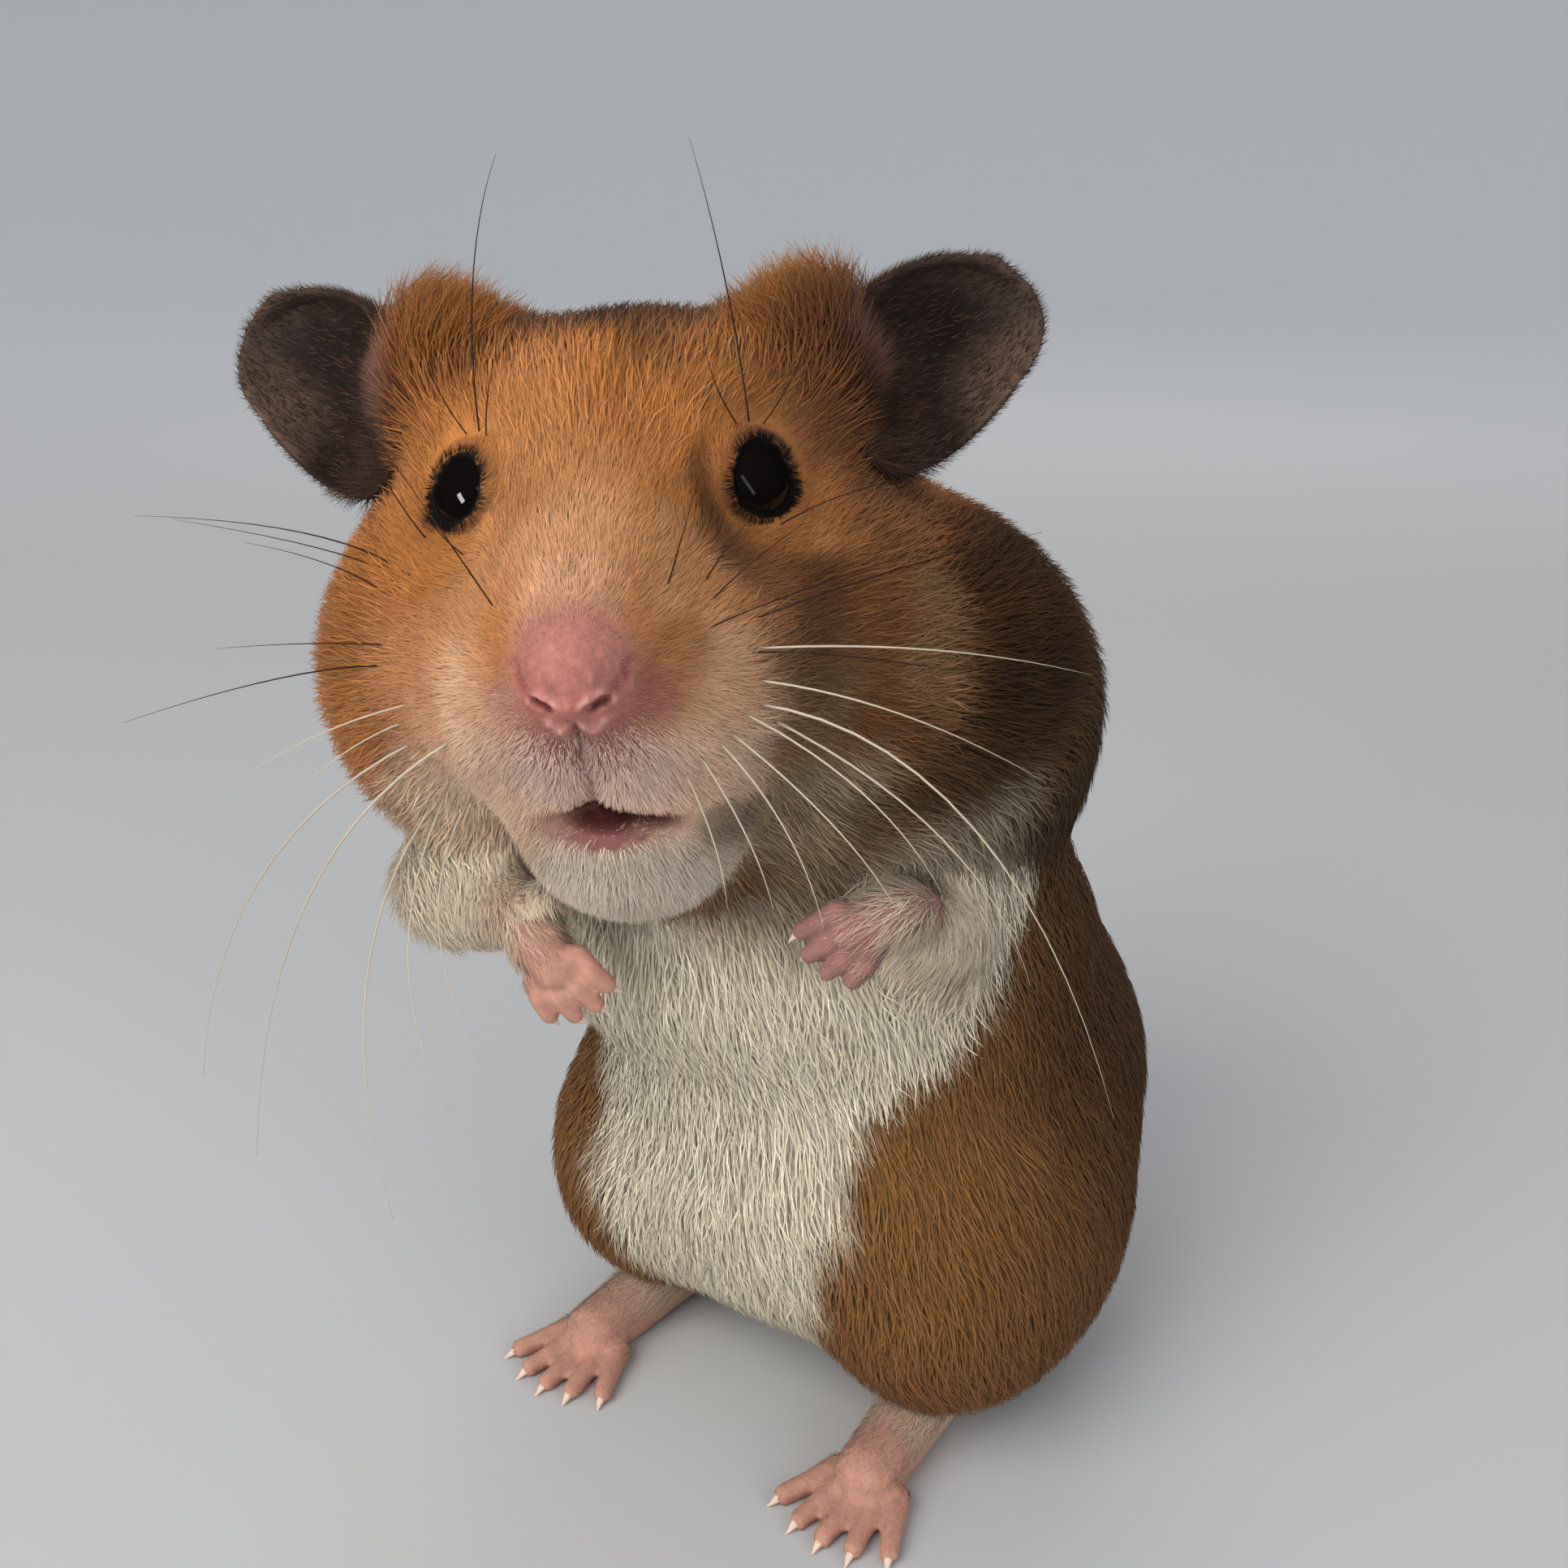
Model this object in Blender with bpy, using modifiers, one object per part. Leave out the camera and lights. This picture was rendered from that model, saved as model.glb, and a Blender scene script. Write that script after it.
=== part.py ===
"""A Syrian hamster sitting up on its haunches and looking to its left, life size, as a
museum model parted where a person would name its parts.

The solids are the outside of the coat.  Sizes are in millimetres, and MM turns them into
metres.  The hips face -Y, the animal's left is +X and the floor is at z = 0.  The head and
the chest have frames of their own: x to the animal's left, y towards its back, z up.
"""

import math

import bmesh
import bpy
from mathutils import Matrix, Vector

NAME = "syrian_hamster"
MM = 0.001
GAP = 0.3  # width of a parting cut, and the clearance between neighbours
SIDES = {"left": 1, "right": -1}

# ---- driving dimensions, in millimetres and degrees ----------------------------------
EYES_AT = (-5.0, -26.0, 80.0)  # midway between the eyes
HEAD_YAW, HEAD_PITCH, HEAD_ROLL = 32.5, 0.0, -3.0
CHEST_AT = (-2.5, -9.5, 47.0)
CHEST_YAW, CHEST_LEAN = 20.0, 14.0

EYE_AT, EYE_RADIUS = (8.9, 1.1, -0.5), 3.6
NOSE_AT, NOSE_RADII = (0.0, -18.6, -8.6), (4.6, 4.4, 4.2)
JAW_AT, JAW_RADII = (0.9, -9.0, -22.0), (9.0, 9.6, 5.2)

EAR_ROOT = (18.5, 9.5, 3.8)  # middle of the ear's root on the head
EAR_OUT, EAR_UP = (0.86, 0.41, 0.29), (-0.42, 0.27, 0.87)
EAR_HALF_LENGTH, EAR_HALF_WIDTH, EAR_DISH, EAR_THICK = 9.4, 8.2, 3.4, 1.0

SHOULDER = {"left": (9.0, -12.0, 52.0), "right": (-15.0, -18.0, 54.0)}
ELBOW = {"left": (14.8, -12.4, 47.6), "right": (-19.6, -29.6, 48.3)}
WRIST = {"left": (16.2, -20.6, 51.6), "right": (-8.0, -34.2, 50.0)}
ARM_RADII = {"left": (5.2, 4.1, 2.9), "right": (7.0, 4.9, 3.3)}  # shoulder, elbow, wrist
KNUCKLES = {"left": (14.4, -23.9, 51.0), "right": (-3.4, -35.2, 47.5)}
FINGERTIPS = {"left": (12.2, -26.6, 47.8), "right": (-0.6, -35.0, 43.4)}
PAW_SPAN = {"left": (0.75, 0.5, -0.5), "right": (0.72, 0.42, 0.55)}  # across the fingers

THIGH_AT, THIGH_RADII = (14.5, -4.0, 17.0), (12.0, 19.0, 17.0)
THIGH_CUT_AT, THIGH_CUT_RADII = (20.0, -5.0, 16.0), (11.5, 17.5, 16.5)
HEEL, TOES = (14.0, -9.0, 2.7), (15.2, -29.0, 1.5)
TAIL_LINE, TAIL_RADII = [(0, 21, 8), (0, 26.5, 4.2), (0, 31, 1.8)], [4.0, 2.3, 1.2]

# A point on each parting plane, and the direction the plane faces.
NECK_FRONT = (-5.0, -26.0, 53.5), (0.36, -0.60, 0.715)
NECK_BACK = (-3.0, -8.0, 55.0), (-0.10, -0.30, 0.95)

BODY_VOXEL, HEAD_VOXEL, LIMB_VOXEL, PAW_VOXEL = 1.5, 1.0, 0.8, 0.38
FLESH_TRIANGLES, LIMB_TRIANGLES, PAW_TRIANGLES = 2600, 180, 300


def frame_at(place, yaw=0.0, pitch=0.0, roll=0.0):
    """A frame at a place, turned left by yaw, nose up by pitch, left side down by roll."""
    turn = (
        Matrix.Rotation(math.radians(yaw), 4, "Z")
        @ Matrix.Rotation(math.radians(-pitch), 4, "X")
        @ Matrix.Rotation(math.radians(roll), 4, "Y")
    )
    return Matrix.Translation(Vector(place)) @ turn


WORLD = Matrix.Identity(4)
HEAD = frame_at(EYES_AT, HEAD_YAW, HEAD_PITCH, HEAD_ROLL)
CHEST = frame_at(CHEST_AT, CHEST_YAW, -CHEST_LEAN)


def mirrored(place, side):
    return (SIDES[side] * place[0], place[1], place[2])


# ---- small tools --------------------------------------------------------------------
def add_ball(bm, frame, centre, radii, turn=(0, 0, 0), detail=3, inward=False):
    """An ellipsoid in a frame.  Its turn is three angles about x, y and z."""
    shape = Matrix.Translation(Vector(centre))
    for angle, axis in zip(turn, "XYZ"):
        shape = shape @ Matrix.Rotation(math.radians(angle), 4, axis)
    shape = Matrix.Scale(MM, 4) @ frame @ shape @ Matrix.Diagonal((*radii, 1.0))
    made = bmesh.ops.create_icosphere(bm, subdivisions=detail, radius=1.0, matrix=shape)
    if inward:
        faces = {face for vertex in made["verts"] for face in vertex.link_faces}
        bmesh.ops.reverse_faces(bm, faces=list(faces))


def add_limb(bm, frame, places, radii, detail=2):
    """Balls strung close together along a bent line, whose radius runs between the given ones."""
    places = [Vector(place) for place in places]
    for start, end, first, last in zip(places, places[1:], radii, radii[1:]):
        steps = max(1, math.ceil((end - start).length / (0.45 * min(first, last))))
        for step in range(steps + 1):
            share = step / steps
            radius = first + (last - first) * share
            add_ball(bm, frame, start.lerp(end, share), (radius,) * 3, detail=detail)


def object_from(bm, name):
    mesh = bpy.data.meshes.new(name)
    bm.to_mesh(mesh)
    bm.free()
    made = bpy.data.objects.new(name, mesh)
    bpy.context.scene.collection.objects.link(made)
    return made


def applied(obj):
    """Replaces an object's mesh with what its modifiers make of it."""
    bpy.context.view_layer.update()
    graph = bpy.context.evaluated_depsgraph_get()
    mesh = bpy.data.meshes.new_from_object(obj.evaluated_get(graph))
    obj.modifiers.clear()
    obj.data = mesh
    return obj


def melted(obj, voxel, smoothing, triangles=None):
    """Melts an object's overlapping balls into one smooth closed skin."""
    remesh = obj.modifiers.new("melt", "REMESH")
    remesh.mode = "VOXEL"
    remesh.voxel_size = voxel * MM
    smooth = obj.modifiers.new("smooth", "SMOOTH")
    smooth.factor = 0.5
    smooth.iterations = smoothing
    applied(obj)
    return thinned(obj, triangles) if triangles else obj


def thinned(obj, triangles):
    obj.data.calc_loop_triangles()
    thin = obj.modifiers.new("thin", "DECIMATE")
    thin.ratio = min(1.0, triangles / len(obj.data.loop_triangles))
    return applied(obj)


def swollen(obj, amount):
    """A copy of an object, thicker all over by an amount."""
    copy = bpy.data.objects.new(obj.name + "_swollen", obj.data.copy())
    bpy.context.scene.collection.objects.link(copy)
    swell = copy.modifiers.new("swell", "DISPLACE")
    swell.strength = amount * MM
    swell.mid_level = 0.0
    return applied(copy)


def combined(obj, other, operation="DIFFERENCE", keep_other=False):
    boolean = obj.modifiers.new(operation.lower(), "BOOLEAN")
    boolean.operation = operation
    boolean.object = other
    applied(obj)
    if not keep_other:
        bpy.data.objects.remove(other)
    return obj


def joined(objects, name):
    bm = bmesh.new()
    for obj in objects:
        bm.from_mesh(obj.data)
        bpy.data.objects.remove(obj)
    return object_from(bm, name)


def pieces_of(obj):
    """Parts an object into its loose closed pieces, largest first, without crumbs."""
    for other in bpy.context.selected_objects:
        other.select_set(False)
    obj.select_set(True)
    bpy.context.view_layer.objects.active = obj
    bpy.ops.mesh.separate(type="LOOSE")
    found = []
    for piece in list(bpy.context.selected_objects):
        bm = bmesh.new()
        bm.from_mesh(piece.data)
        volume = abs(bm.calc_volume())
        bm.free()
        if volume < 2 * MM**3:
            bpy.data.objects.remove(piece)
        else:
            found.append((volume, piece))
    return [piece for volume, piece in sorted(found, key=lambda pair: -pair[0])]


def shell(frame, centre, radii, turn=(0, 0, 0), name="shell"):
    """A thin closed skin around an ellipsoid, which cuts what is inside it free."""
    bm = bmesh.new()
    add_ball(bm, frame, centre, radii, turn)
    add_ball(bm, frame, centre, [radius - GAP for radius in radii], turn, inward=True)
    return object_from(bm, name)


def slab(point, normal, name="slab", size=160):
    """A thin flat plate through a point, square to a normal."""
    bm = bmesh.new()
    turn = Vector(normal).to_track_quat("Z", "Y").to_matrix().to_4x4()
    shape = Matrix.Translation(Vector(point)) @ turn @ Matrix.Diagonal((size, size, GAP, 1))
    bmesh.ops.create_cube(bm, size=1.0, matrix=Matrix.Scale(MM, 4) @ shape)
    return object_from(bm, name)


def floor_block():
    bm = bmesh.new()
    shape = Matrix.Translation((0, 0, -30)) @ Matrix.Diagonal((200, 200, 60, 1))
    bmesh.ops.create_cube(bm, size=1.0, matrix=Matrix.Scale(MM, 4) @ shape)
    return object_from(bm, "floor_block")


# ---- the flesh ----------------------------------------------------------------------
def add_trunk(bm):
    add_ball(bm, WORLD, (-1, 2, 23.5), (25.5, 26, 24.5))  # hips
    add_ball(bm, WORLD, (-1.5, -1, 36), (22.5, 22, 22), (-15, 0, 0))  # belly
    add_ball(bm, WORLD, (-5, 0, 49), (20, 19.5, 18))  # back
    add_ball(bm, CHEST, (-1.0, 0, 0), (21.5, 19, 20))
    add_ball(bm, WORLD, (1, -2.5, 59.5), (20, 17.5, 19))  # shoulders
    add_ball(bm, WORLD, (-8, -10, 70), (18, 16, 16))  # nape
    for side in SIDES:
        add_ball(bm, WORLD, mirrored(THIGH_AT, side), THIGH_RADII)


def add_head(bm):
    add_ball(bm, HEAD, (0, 13, -1.5), (18.5, 15.5, 12.8))  # skull
    add_limb(bm, HEAD, [(0, 2, -5), (0, -8, -8.6), (0, -14.0, -9.4)], [9.6, 8.6, 5.6], 3)  # bridge
    add_ball(bm, HEAD, NOSE_AT[:1] + (NOSE_AT[1] + 1.6, NOSE_AT[2]), (4.0, 4.4, 4.0))
    add_ball(bm, HEAD, (JAW_AT[0], -7.0, -20.4), (8.8, 9.0, 9.0))  # chin
    add_ball(bm, HEAD, (0, 10, -15), (19, 15, 14))  # throat
    for side in SIDES:
        add_ball(bm, HEAD, mirrored((5.2, -9.5, -12), side), (6.9, 7.4, 7.2))  # whisker pad
        add_ball(bm, HEAD, mirrored((8.6, -4.0, -12.5), side), (7.6, 7.6, 8.0))  # between the two
        add_ball(bm, HEAD, mirrored((11.5, 7.5, -14), side), (12.6, 14.5, 15.2))  # cheek
        add_ball(bm, HEAD, mirrored((14.0, 12.5, 5.0), side), (7.5, 7, 8))  # fur at the ear's root


def flesh():
    bm = bmesh.new()
    add_trunk(bm)
    trunk = melted(object_from(bm, "trunk"), BODY_VOXEL, 25)
    bm = bmesh.new()
    add_head(bm)
    head = melted(object_from(bm, "head"), HEAD_VOXEL, 12)
    whole = melted(joined([trunk, head], "flesh"), HEAD_VOXEL, 8, FLESH_TRIANGLES)
    return combined(whole, floor_block())


def eye(side):
    bm = bmesh.new()
    add_ball(bm, HEAD, mirrored(EYE_AT, side), (EYE_RADIUS,) * 3)
    return object_from(bm, "eye_" + side)


def ear(side, swollen_flesh):
    """A dished disc that tapers towards its tip, solid, and cut where it meets the head."""
    out = Vector(mirrored(EAR_OUT, side)).normalized()
    up = Vector(mirrored(EAR_UP, side))
    up = (up - out * up.dot(out)).normalized()
    face = out.cross(up) * -SIDES[side]
    face = -face if face.y > 0 else face
    middle = Vector(mirrored(EAR_ROOT, side)) + out * (EAR_HALF_LENGTH - 4.0)
    bm = bmesh.new()
    bmesh.ops.create_grid(bm, x_segments=8, y_segments=8, size=1.0)
    for vertex in bm.verts:
        along, across = vertex.co.x, vertex.co.y
        along, across = (
            along * math.sqrt(1 - 0.42 * across**2),
            across * math.sqrt(1 - 0.42 * along**2),
        )
        share = (along + 1) / 2  # 0 at the root, 1 at the tip
        rim = min(1.0, along**2 + across**2)
        narrowing = 0.12 if across > 0 else 0.55
        spot = (
            middle
            + out * along * EAR_HALF_LENGTH
            + up * (across * EAR_HALF_WIDTH * (1.0 - narrowing * share) + 1.4 * share)
            - face * EAR_DISH * (1 - rim)
            + face * 1.2 * max(0.0, across) ** 3
        )
        vertex.co = HEAD @ spot * MM
    made = object_from(bm, "ear_" + side)
    thick = made.modifiers.new("thick", "SOLIDIFY")
    thick.thickness = EAR_THICK * MM
    thick.offset = 0.0
    applied(made)
    return largest_of(combined(made, swollen_flesh, keep_other=True))


def forepaw(side):
    wrist, knuckles, tips = (Vector(spot[side]) for spot in (WRIST, KNUCKLES, FINGERTIPS))
    span = Vector(PAW_SPAN[side])
    reach = (tips - knuckles).normalized()
    span = (span - reach * span.dot(reach)).normalized()
    bm = bmesh.new()
    add_limb(bm, WORLD, [wrist, wrist.lerp(knuckles, 0.5), knuckles], [2.2, 2.5, 2.0])
    for finger in range(4):
        spread = (finger - 1.5) / 1.5
        root = knuckles + span * spread * 1.9
        length = 3.9 - 0.9 * spread**2
        tip = root + (reach + span * spread * 0.22).normalized() * length
        claw = tip + (tip - root).normalized() * 1.1
        add_limb(bm, WORLD, [knuckles.lerp(root, 0.6), root, tip], [1.3, 1.0, 0.85])
        add_limb(bm, WORLD, [tip, claw], [0.6, 0.42])
    return melted(object_from(bm, "forepaw_" + side), PAW_VOXEL, 2, PAW_TRIANGLES)


def foreleg(side):
    bm = bmesh.new()
    places = [Vector(spot[side]) for spot in (SHOULDER, ELBOW, WRIST)]
    beyond = places[2] + (places[2] - places[1]).normalized() * 1.5
    shoulder, elbow, wrist = ARM_RADII[side]
    add_limb(bm, WORLD, [*places, beyond], [shoulder, elbow, wrist, wrist * 0.93], 3)
    return melted(object_from(bm, "foreleg_" + side), LIMB_VOXEL, 4, LIMB_TRIANGLES)


def tail():
    bm = bmesh.new()
    add_limb(bm, WORLD, TAIL_LINE, TAIL_RADII, 3)
    return melted(object_from(bm, "tail"), 0.6, 3, 200)


def hind_foot(side):
    heel, toes = Vector(mirrored(HEEL, side)), Vector(mirrored(TOES, side))
    ball = heel.lerp(toes, 0.62)
    bm = bmesh.new()
    add_limb(bm, WORLD, [heel, ball], [3.6, 3.2], 3)
    for toe in range(5):
        spread = (toe - 2) / 2
        root = ball + Vector((spread * 2.8, 0, -1.0))
        tip = root + Vector((spread * 2.2, -(6.4 - 1.7 * spread**2), -0.4))
        claw = tip + (tip - root).normalized() * 1.2 + Vector((0, 0, -0.2))
        add_limb(bm, WORLD, [ball.lerp(root, 0.5), root, tip], [1.7, 1.35, 1.05])
        add_limb(bm, WORLD, [tip, claw], [0.65, 0.42])
    return melted(object_from(bm, "hindfoot_" + side), PAW_VOXEL * 1.15, 2, PAW_TRIANGLES)


# ---- parting and finish --------------------------------------------------------------
FLESH_LOOKS = {
    "head": ((0.46, 0.20, 0.07), 0.90),
    "lower_jaw": ((0.34, 0.24, 0.19), 0.90),
    "nose": ((0.52, 0.22, 0.18), 0.55),
    "neck": ((0.20, 0.11, 0.05), 0.90),
    "trunk": ((0.30, 0.15, 0.06), 0.90),
    "tail": ((0.50, 0.30, 0.24), 0.70),
}
SIDED_LOOKS = {
    "ear": ((0.07, 0.04, 0.03), 0.60),
    "eye": ((0.006, 0.005, 0.005), 0.05),
    "foreleg": ((0.50, 0.42, 0.32), 0.90),
    "forepaw": ((0.50, 0.29, 0.22), 0.70),
    "thigh": ((0.25, 0.13, 0.05), 0.90),
    "hindfoot": ((0.50, 0.29, 0.22), 0.70),
}


def middle_of(obj):
    corners = [Vector(corner) for corner in obj.bound_box]
    return (corners[0] + corners[6]) / 2


def nearest(pieces, spot):
    found = min(pieces, key=lambda piece: (middle_of(piece) - spot * MM).length)
    pieces.remove(found)
    return found


def largest_of(obj):
    """Keeps an object's largest piece and drops the rest."""
    first, *rest = pieces_of(obj)
    for piece in rest:
        bpy.data.objects.remove(piece)
    return first


def parted_flesh(whole):
    """Frees the eyes' sockets, nose, lower jaw and thighs, then the head, neck and trunk."""
    shells = [shell(HEAD, NOSE_AT, NOSE_RADII), shell(HEAD, JAW_AT, JAW_RADII)]
    names = {"nose": HEAD @ Vector(NOSE_AT), "lower_jaw": HEAD @ Vector(JAW_AT)}
    for side in SIDES:
        bm = bmesh.new()
        add_ball(bm, HEAD, mirrored(EYE_AT, side), (EYE_RADIUS + GAP,) * 3, detail=2)
        combined(whole, object_from(bm, "socket"))
        shells.append(shell(WORLD, mirrored(THIGH_CUT_AT, side), THIGH_CUT_RADII))
        names["thigh_" + side] = Vector(mirrored(THIGH_CUT_AT, side))
    for cutter in shells:
        combined(whole, cutter)
    rest, *freed = pieces_of(whole)
    found = {name: nearest(freed, spot) for name, spot in names.items()}
    combined(rest, slab(*NECK_BACK))
    lower, upper = sorted(pieces_of(rest)[:2], key=lambda piece: middle_of(piece).z)
    found["trunk"] = lower
    combined(upper, slab(*NECK_FRONT))
    pair = pieces_of(upper)[:2]
    found["head"] = nearest(pair, HEAD @ Vector((0, 0, -8)))
    found["neck"] = pair[0]
    return found


def finished(parts, collection):
    """Names the parts, gives each a material and its own origin, and stands them on the floor."""
    bpy.context.view_layer.update()
    corners = [Vector(corner) for part in parts.values() for corner in part.bound_box]
    low = Vector(min(corner[i] for corner in corners) for i in range(3))
    high = Vector(max(corner[i] for corner in corners) for i in range(3))
    stand = bpy.data.objects.new(NAME + "_stand", None)
    stand.location = (-(low.x + high.x) / 2, -(low.y + high.y) / 2, -low.z)
    collection.objects.link(stand)
    for name, part in parts.items():
        base, _, side = name.rpartition("_")
        colour, roughness = SIDED_LOOKS[base] if side in SIDES else FLESH_LOOKS[name]
        material = bpy.data.materials.new(name)
        material.use_nodes = True
        surface = material.node_tree.nodes["Principled BSDF"]
        surface.inputs["Base Color"].default_value = (*colour, 1.0)
        surface.inputs["Roughness"].default_value = roughness
        surface.inputs["Metallic"].default_value = 0.0
        part.name = part.data.name = name
        part.data.materials.clear()
        part.data.materials.append(material)
        part.data.shade_smooth()
        middle = middle_of(part)
        part.data.transform(Matrix.Translation(-middle))
        part.location = middle
        part.parent = stand
        for owner in list(part.users_collection):
            owner.objects.unlink(part)
        collection.objects.link(part)


def main():
    for obj in list(bpy.data.objects):
        bpy.data.objects.remove(obj)
    whole = flesh()
    fat = swollen(whole, GAP)
    floor = floor_block()
    parts = {}
    for side in SIDES:
        parts["ear_" + side] = ear(side, fat)
        parts["eye_" + side] = eye(side)
        leg = largest_of(combined(foreleg(side), fat, keep_other=True))
        fat_leg = swollen(leg, GAP)
        hand = combined(forepaw(side), fat, keep_other=True)
        parts["forepaw_" + side] = largest_of(combined(hand, fat_leg))
        parts["foreleg_" + side] = leg
        foot = combined(hind_foot(side), fat, keep_other=True)
        parts["hindfoot_" + side] = largest_of(combined(foot, floor, keep_other=True))
    end = combined(tail(), fat, keep_other=True)
    parts["tail"] = largest_of(combined(end, floor, keep_other=True))
    parts.update(parted_flesh(whole))
    bpy.data.objects.remove(fat)
    bpy.data.objects.remove(floor)
    collection = bpy.data.collections.new(NAME)
    bpy.context.scene.collection.children.link(collection)
    finished(parts, collection)


if __name__ == "__main__":
    main()
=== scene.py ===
import math
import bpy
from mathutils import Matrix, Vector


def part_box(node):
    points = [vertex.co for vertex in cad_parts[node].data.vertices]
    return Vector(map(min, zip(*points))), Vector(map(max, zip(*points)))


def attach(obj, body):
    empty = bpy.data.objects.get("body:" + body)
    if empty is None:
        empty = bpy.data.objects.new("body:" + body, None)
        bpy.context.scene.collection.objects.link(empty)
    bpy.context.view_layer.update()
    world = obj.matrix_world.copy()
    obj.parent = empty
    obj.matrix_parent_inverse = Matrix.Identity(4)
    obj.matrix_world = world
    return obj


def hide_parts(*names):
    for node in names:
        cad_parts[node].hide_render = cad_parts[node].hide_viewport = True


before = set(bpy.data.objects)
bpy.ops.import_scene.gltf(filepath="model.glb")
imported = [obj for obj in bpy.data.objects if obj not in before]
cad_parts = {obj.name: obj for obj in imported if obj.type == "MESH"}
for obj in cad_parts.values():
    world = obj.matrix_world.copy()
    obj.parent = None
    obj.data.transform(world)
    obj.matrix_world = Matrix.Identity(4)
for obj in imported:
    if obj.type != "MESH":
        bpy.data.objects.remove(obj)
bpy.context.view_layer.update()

from types import SimpleNamespace

import bmesh
import bpy
import numpy as np
from mathutils import Matrix, Quaternion, Vector
from mathutils.bvhtree import BVHTree

# Lengths below are in millimetres in the row frame; MM turns them into metres.
MM = 0.001
SHARE = 1.0  # share of the coat that is grown
FAR = 99.0  # a distance that no rule reaches
rng = np.random.default_rng(11)
SIDES = {"left": 1.0, "right": -1.0}


# ---- frames and fields ----
def rotation(degrees, axis):
    return np.array(Matrix.Rotation(math.radians(degrees), 3, axis))


def unit(v):
    v = np.asarray(v, float)
    return v / np.maximum(np.linalg.norm(v, axis=-1, keepdims=True), 1e-9)


def centre_of(node):
    low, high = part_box(node)
    return np.array((low + high) / 2) / MM


HEAD_TURN = rotation(32.5, "Z") @ rotation(-3.0, "Y")
EYE_AT, EYE_R = np.array([8.9, 1.1, -0.5]), 3.6
EYES = (centre_of("eye_left") + centre_of("eye_right")) / 2 - HEAD_TURN @ (EYE_AT * (0, 1, 1))
STAND = EYES - np.array([-5.0, -26.0, 80.0])  # the modelling frame's place in the row frame


def to_head(p):
    """Places in the head's frame: x to its left, y back, z up, from between the eyes."""
    return (p - EYES) @ HEAD_TURN


def from_head(p):
    return np.asarray(p, float) @ HEAD_TURN.T + EYES


def mirrored(v, side):
    """A vector of the animal's left side, taken to either side."""
    return np.array(v) * (SIDES[side], 1, 1)


def smooth(x):
    x = np.clip(x, 0, 1)
    return x * x * (3 - 2 * x)


def bump(d, width):
    return np.exp(-((d / width) ** 2))


def moved(a, b, share):
    """a, moved a share of the way to b."""
    return a + (b - a) * share


def laid(over, colour, mask):
    """A colour laid over others through a mask."""
    return moved(over, colour, mask[:, None])


def blob(p, centre, radii, soft=0.5):
    """1 inside an ellipsoid and 0 outside, with a soft edge."""
    d = np.linalg.norm((p - np.array(centre)) / np.array(radii), axis=-1)
    return smooth((1 + soft - d) / (2 * soft))


def segment_distance(p, a, b):
    a, b = np.asarray(a, float), np.asarray(b, float)
    t = np.clip(((p - a) @ (b - a)) / ((b - a) @ (b - a)), 0, 1)
    return np.linalg.norm(p - a - t[:, None] * (b - a), axis=1), t


def line_distance(p, points):
    return np.min([segment_distance(p, a, b)[0] for a, b in zip(points, points[1:])], axis=0)


def waves(p, size, seed, count=7):
    """A smooth random field over space, about -1 to 1, whose bumps are about size across."""
    r = np.random.default_rng(seed)
    total = np.zeros(len(p))
    for _ in range(count):
        k = unit(r.normal(size=3)) * r.uniform(0.7, 1.5) * 2 * math.pi / size
        total += np.sin(p @ k + r.uniform(0, 6.28))
    return total / math.sqrt(count / 2) / 2


def waves3(p, size, *seeds):
    return np.stack([waves(p, size, seed) for seed in seeds], 1)


# ---- meshes as arrays ----
def read(elements, what, width, kind=float):
    """What a mesh's elements hold, a row for each."""
    flat = np.empty(len(elements) * width, kind)
    elements.foreach_get(what, flat)
    return flat.reshape(-1, width)


def arrays_of(mesh):
    mesh.calc_loop_triangles()
    tri = read(mesh.loop_triangles, "vertices", 3, np.int32)
    return read(mesh.vertices, "co", 3) / MM, tri, read(mesh.edges, "vertices", 2, np.int32)


def put_back(mesh, co):
    mesh.vertices.foreach_set("co", (co * MM).ravel())
    mesh.update()


def keep_vectors(mesh, name, values):
    layer = mesh.attributes.new(name, "FLOAT_VECTOR", "POINT")
    layer.data.foreach_set("vector", values.astype(np.float32).ravel())


def normals_of(co, tri):
    face = np.cross(co[tri[:, 1]] - co[tri[:, 0]], co[tri[:, 2]] - co[tri[:, 0]])
    total = np.zeros_like(co)
    for axis in range(3):
        for corner in range(3):
            total[:, axis] += np.bincount(tri[:, corner], face[:, axis], len(co))
    return unit(total)


def relaxed(values, edge, times, share=0.5):
    """Values at vertices, averaged with their neighbours' a number of times."""
    values = np.array(values, float)
    flat = values.ndim == 1
    values = values[:, None] if flat else values
    ends, starts = np.concatenate([edge[:, 0], edge[:, 1]]), np.concatenate([edge[:, 1], edge[:, 0]])
    degree = np.maximum(np.bincount(ends, minlength=len(values)), 1)
    for _ in range(times):
        for axis in range(values.shape[1]):
            mean = np.bincount(ends, values[starts, axis], len(values)) / degree
            values[:, axis] += share * (mean - values[:, axis])
    return values[:, 0] if flat else values


def linked(mesh, name):
    made = bpy.data.objects.new(name, mesh)
    bpy.context.scene.collection.objects.link(made)
    return made


def bmesh_of(*meshes):
    bm = bmesh.new()
    for mesh in meshes:
        bm.from_mesh(mesh)
    return bm


def finished(bm, mesh):
    """Ends a bmesh by writing it to a mesh, which a name makes anew."""
    mesh = bpy.data.meshes.new(mesh) if isinstance(mesh, str) else mesh
    bm.to_mesh(mesh)
    bm.free()
    return mesh


def facing_out(mesh):
    bm = bmesh_of(mesh)
    bmesh.ops.recalc_face_normals(bm, faces=bm.faces)
    return finished(bm, mesh)


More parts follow.
